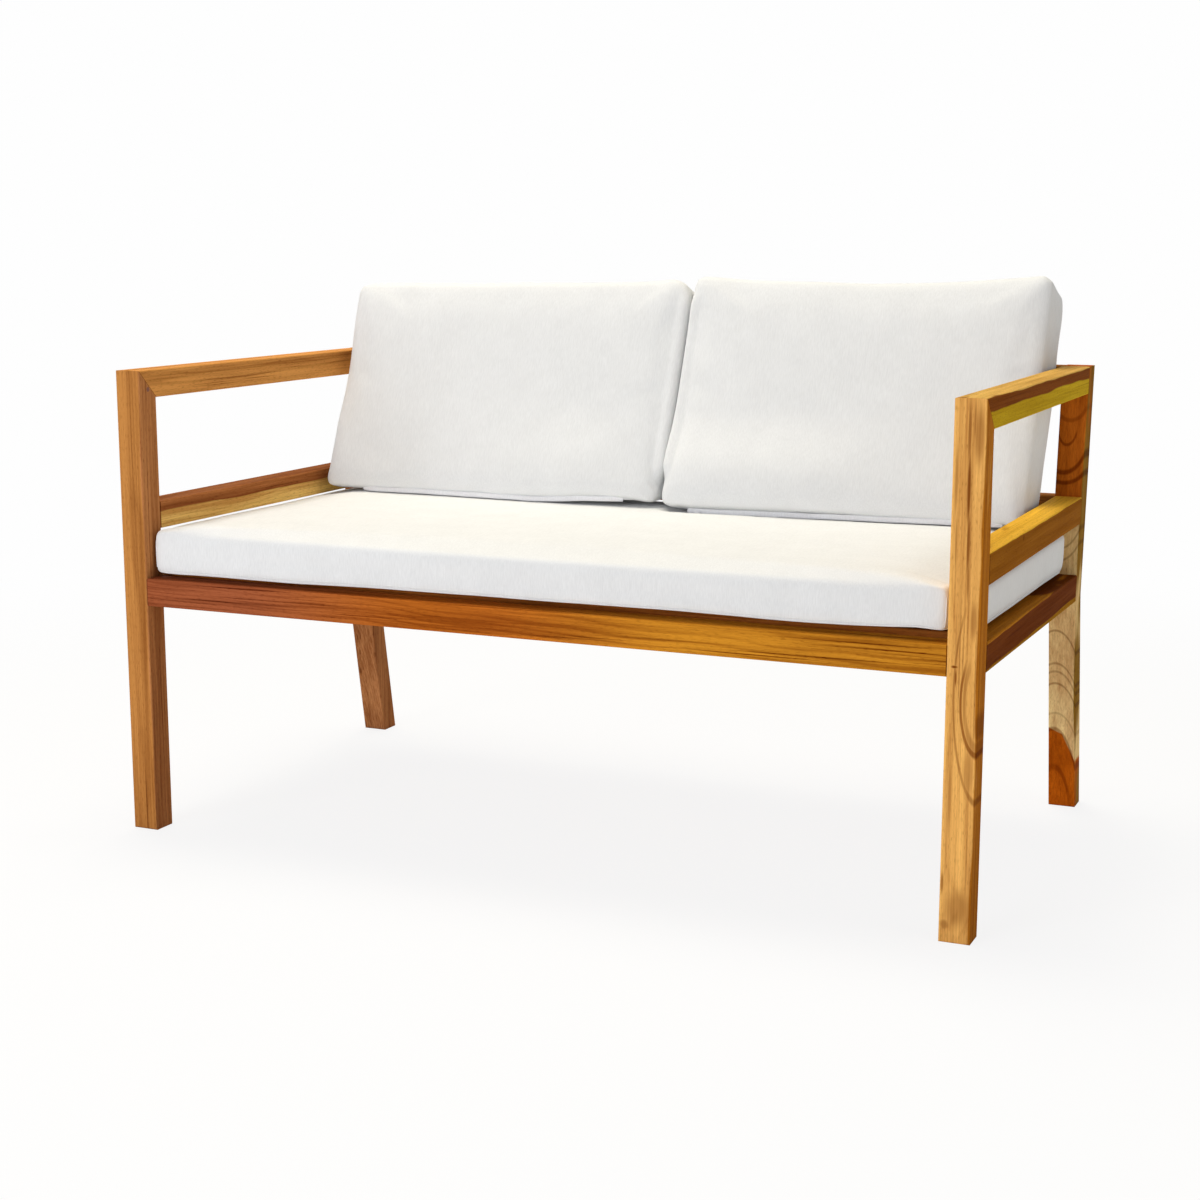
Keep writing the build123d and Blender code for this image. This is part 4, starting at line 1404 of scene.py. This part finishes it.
# %% Paths of the zip flaps
flap_spans = {"left": (-505, -36), "right": (66, back_cuts["right"]["ends"][0][2] - 30)}


def flap_path(cushion, first, last):
    """A slightly wavy line just over the seat, on the foot's front, with its ends tucked in."""
    xs = np.linspace(first, last, 90) * mm
    x, y, z = points_of(cushion.data).T
    foot = seat_rest - seat_dip(x, y)
    band = (np.abs(z - foot - 8 * mm) < 2.5 * mm) & (y < seat_press + 60 * mm)
    faces = -reach_along(x[band], -y[band], xs[0] - 20 * mm, xs[-1] + 20 * mm, 26, np.max)
    order = np.argsort(x[band])
    tucked = smooth_step(24 * mm, 0, np.minimum(xs - xs[0], xs[-1] - xs))
    hang = np.interp(xs, x[band][order], faces[order]) + 0.2 * mm + 7 * mm * tucked
    wave = 0.2 * mm * np.sin(xs / (23 * mm)) + 0.15 * mm * np.sin(xs / (9 * mm) + 1.0)
    level = seat_rest - seat_dip(xs, hang) + flap_radius + 1.0 * mm + wave
    return np.stack([xs, hang, level], axis=1)


# %% Back cushion seams, stitches and flaps
back_pieces = {}
for side, cushion in backs.items():
    name = f"back_cushion_{side}"
    seam = laid(f"{name}_seam", cushion, band_path(side, seam_out), 0.1 * mm, 2, closed=True)
    row = laid(f"{name}_stitches", cushion, band_path(side, stitches_out), 0.15 * mm, 2, closed=True)
    path = flap_path(cushion, *flap_spans[side])
    flap = path_piece(f"{name}_zip_flap", eased(path, 3))
    back_pieces[side] = [
        grown(seam, cord_tree, piping_cloth, Radius=seam_radius), grown(row, stitch_tree, thread),
        grown(flap, cord_tree, flap_cloth_painted_light, Radius=flap_radius, Flatness=flap_flatness),
    ]
print("back cushion trim:", [piece.name for pieces in back_pieces.values() for piece in pieces])

# %% Zip pull
# path is still the right flap's, and its sixth point is about as far along as the tab
block, points = block_points(6)
tab_half, tab_round = np.array((5.0, 1.0, 2.4)) * mm, 0.9 * mm
tab_at = np.array((path[0, 0] + 22 * mm, path[5, 1] - 4 * mm, path[5, 2] - 1.6 * mm))
tab_spots = rounded(points, tab_half, np.full(3, tab_round)) + tab_at
tab = piece_from("back_cushion_right_zip_pull", block, tab_spots)
# The tab has the flap's lighter cloth, which is painted light
tab.data.materials.append(flap_cloth_painted_light)
tab.data.shade_smooth()
back_pieces["right"].append(tab)
print("zip pull at mm:", (tab_at / mm).round(1))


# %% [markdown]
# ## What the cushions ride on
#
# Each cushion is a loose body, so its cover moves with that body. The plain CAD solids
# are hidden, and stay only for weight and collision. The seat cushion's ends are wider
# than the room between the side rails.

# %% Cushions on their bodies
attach(seat, "seat_cushion")
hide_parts("seat_cushion_cover", "seat_cushion_core")
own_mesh(seat)
for piece in seat_pieces:
    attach(piece, "seat_cushion")
    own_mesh(piece)
for side, pieces in back_pieces.items():
    for piece in pieces:
        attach(piece, f"back_cushion_{side}")
for side, piece in backs.items():
    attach(piece, f"back_cushion_{side}")
    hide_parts(f"back_cushion_cover_{side}", f"back_cushion_core_{side}")
print("cushions:", [seat.name, *(piece.name for piece in backs.values())])
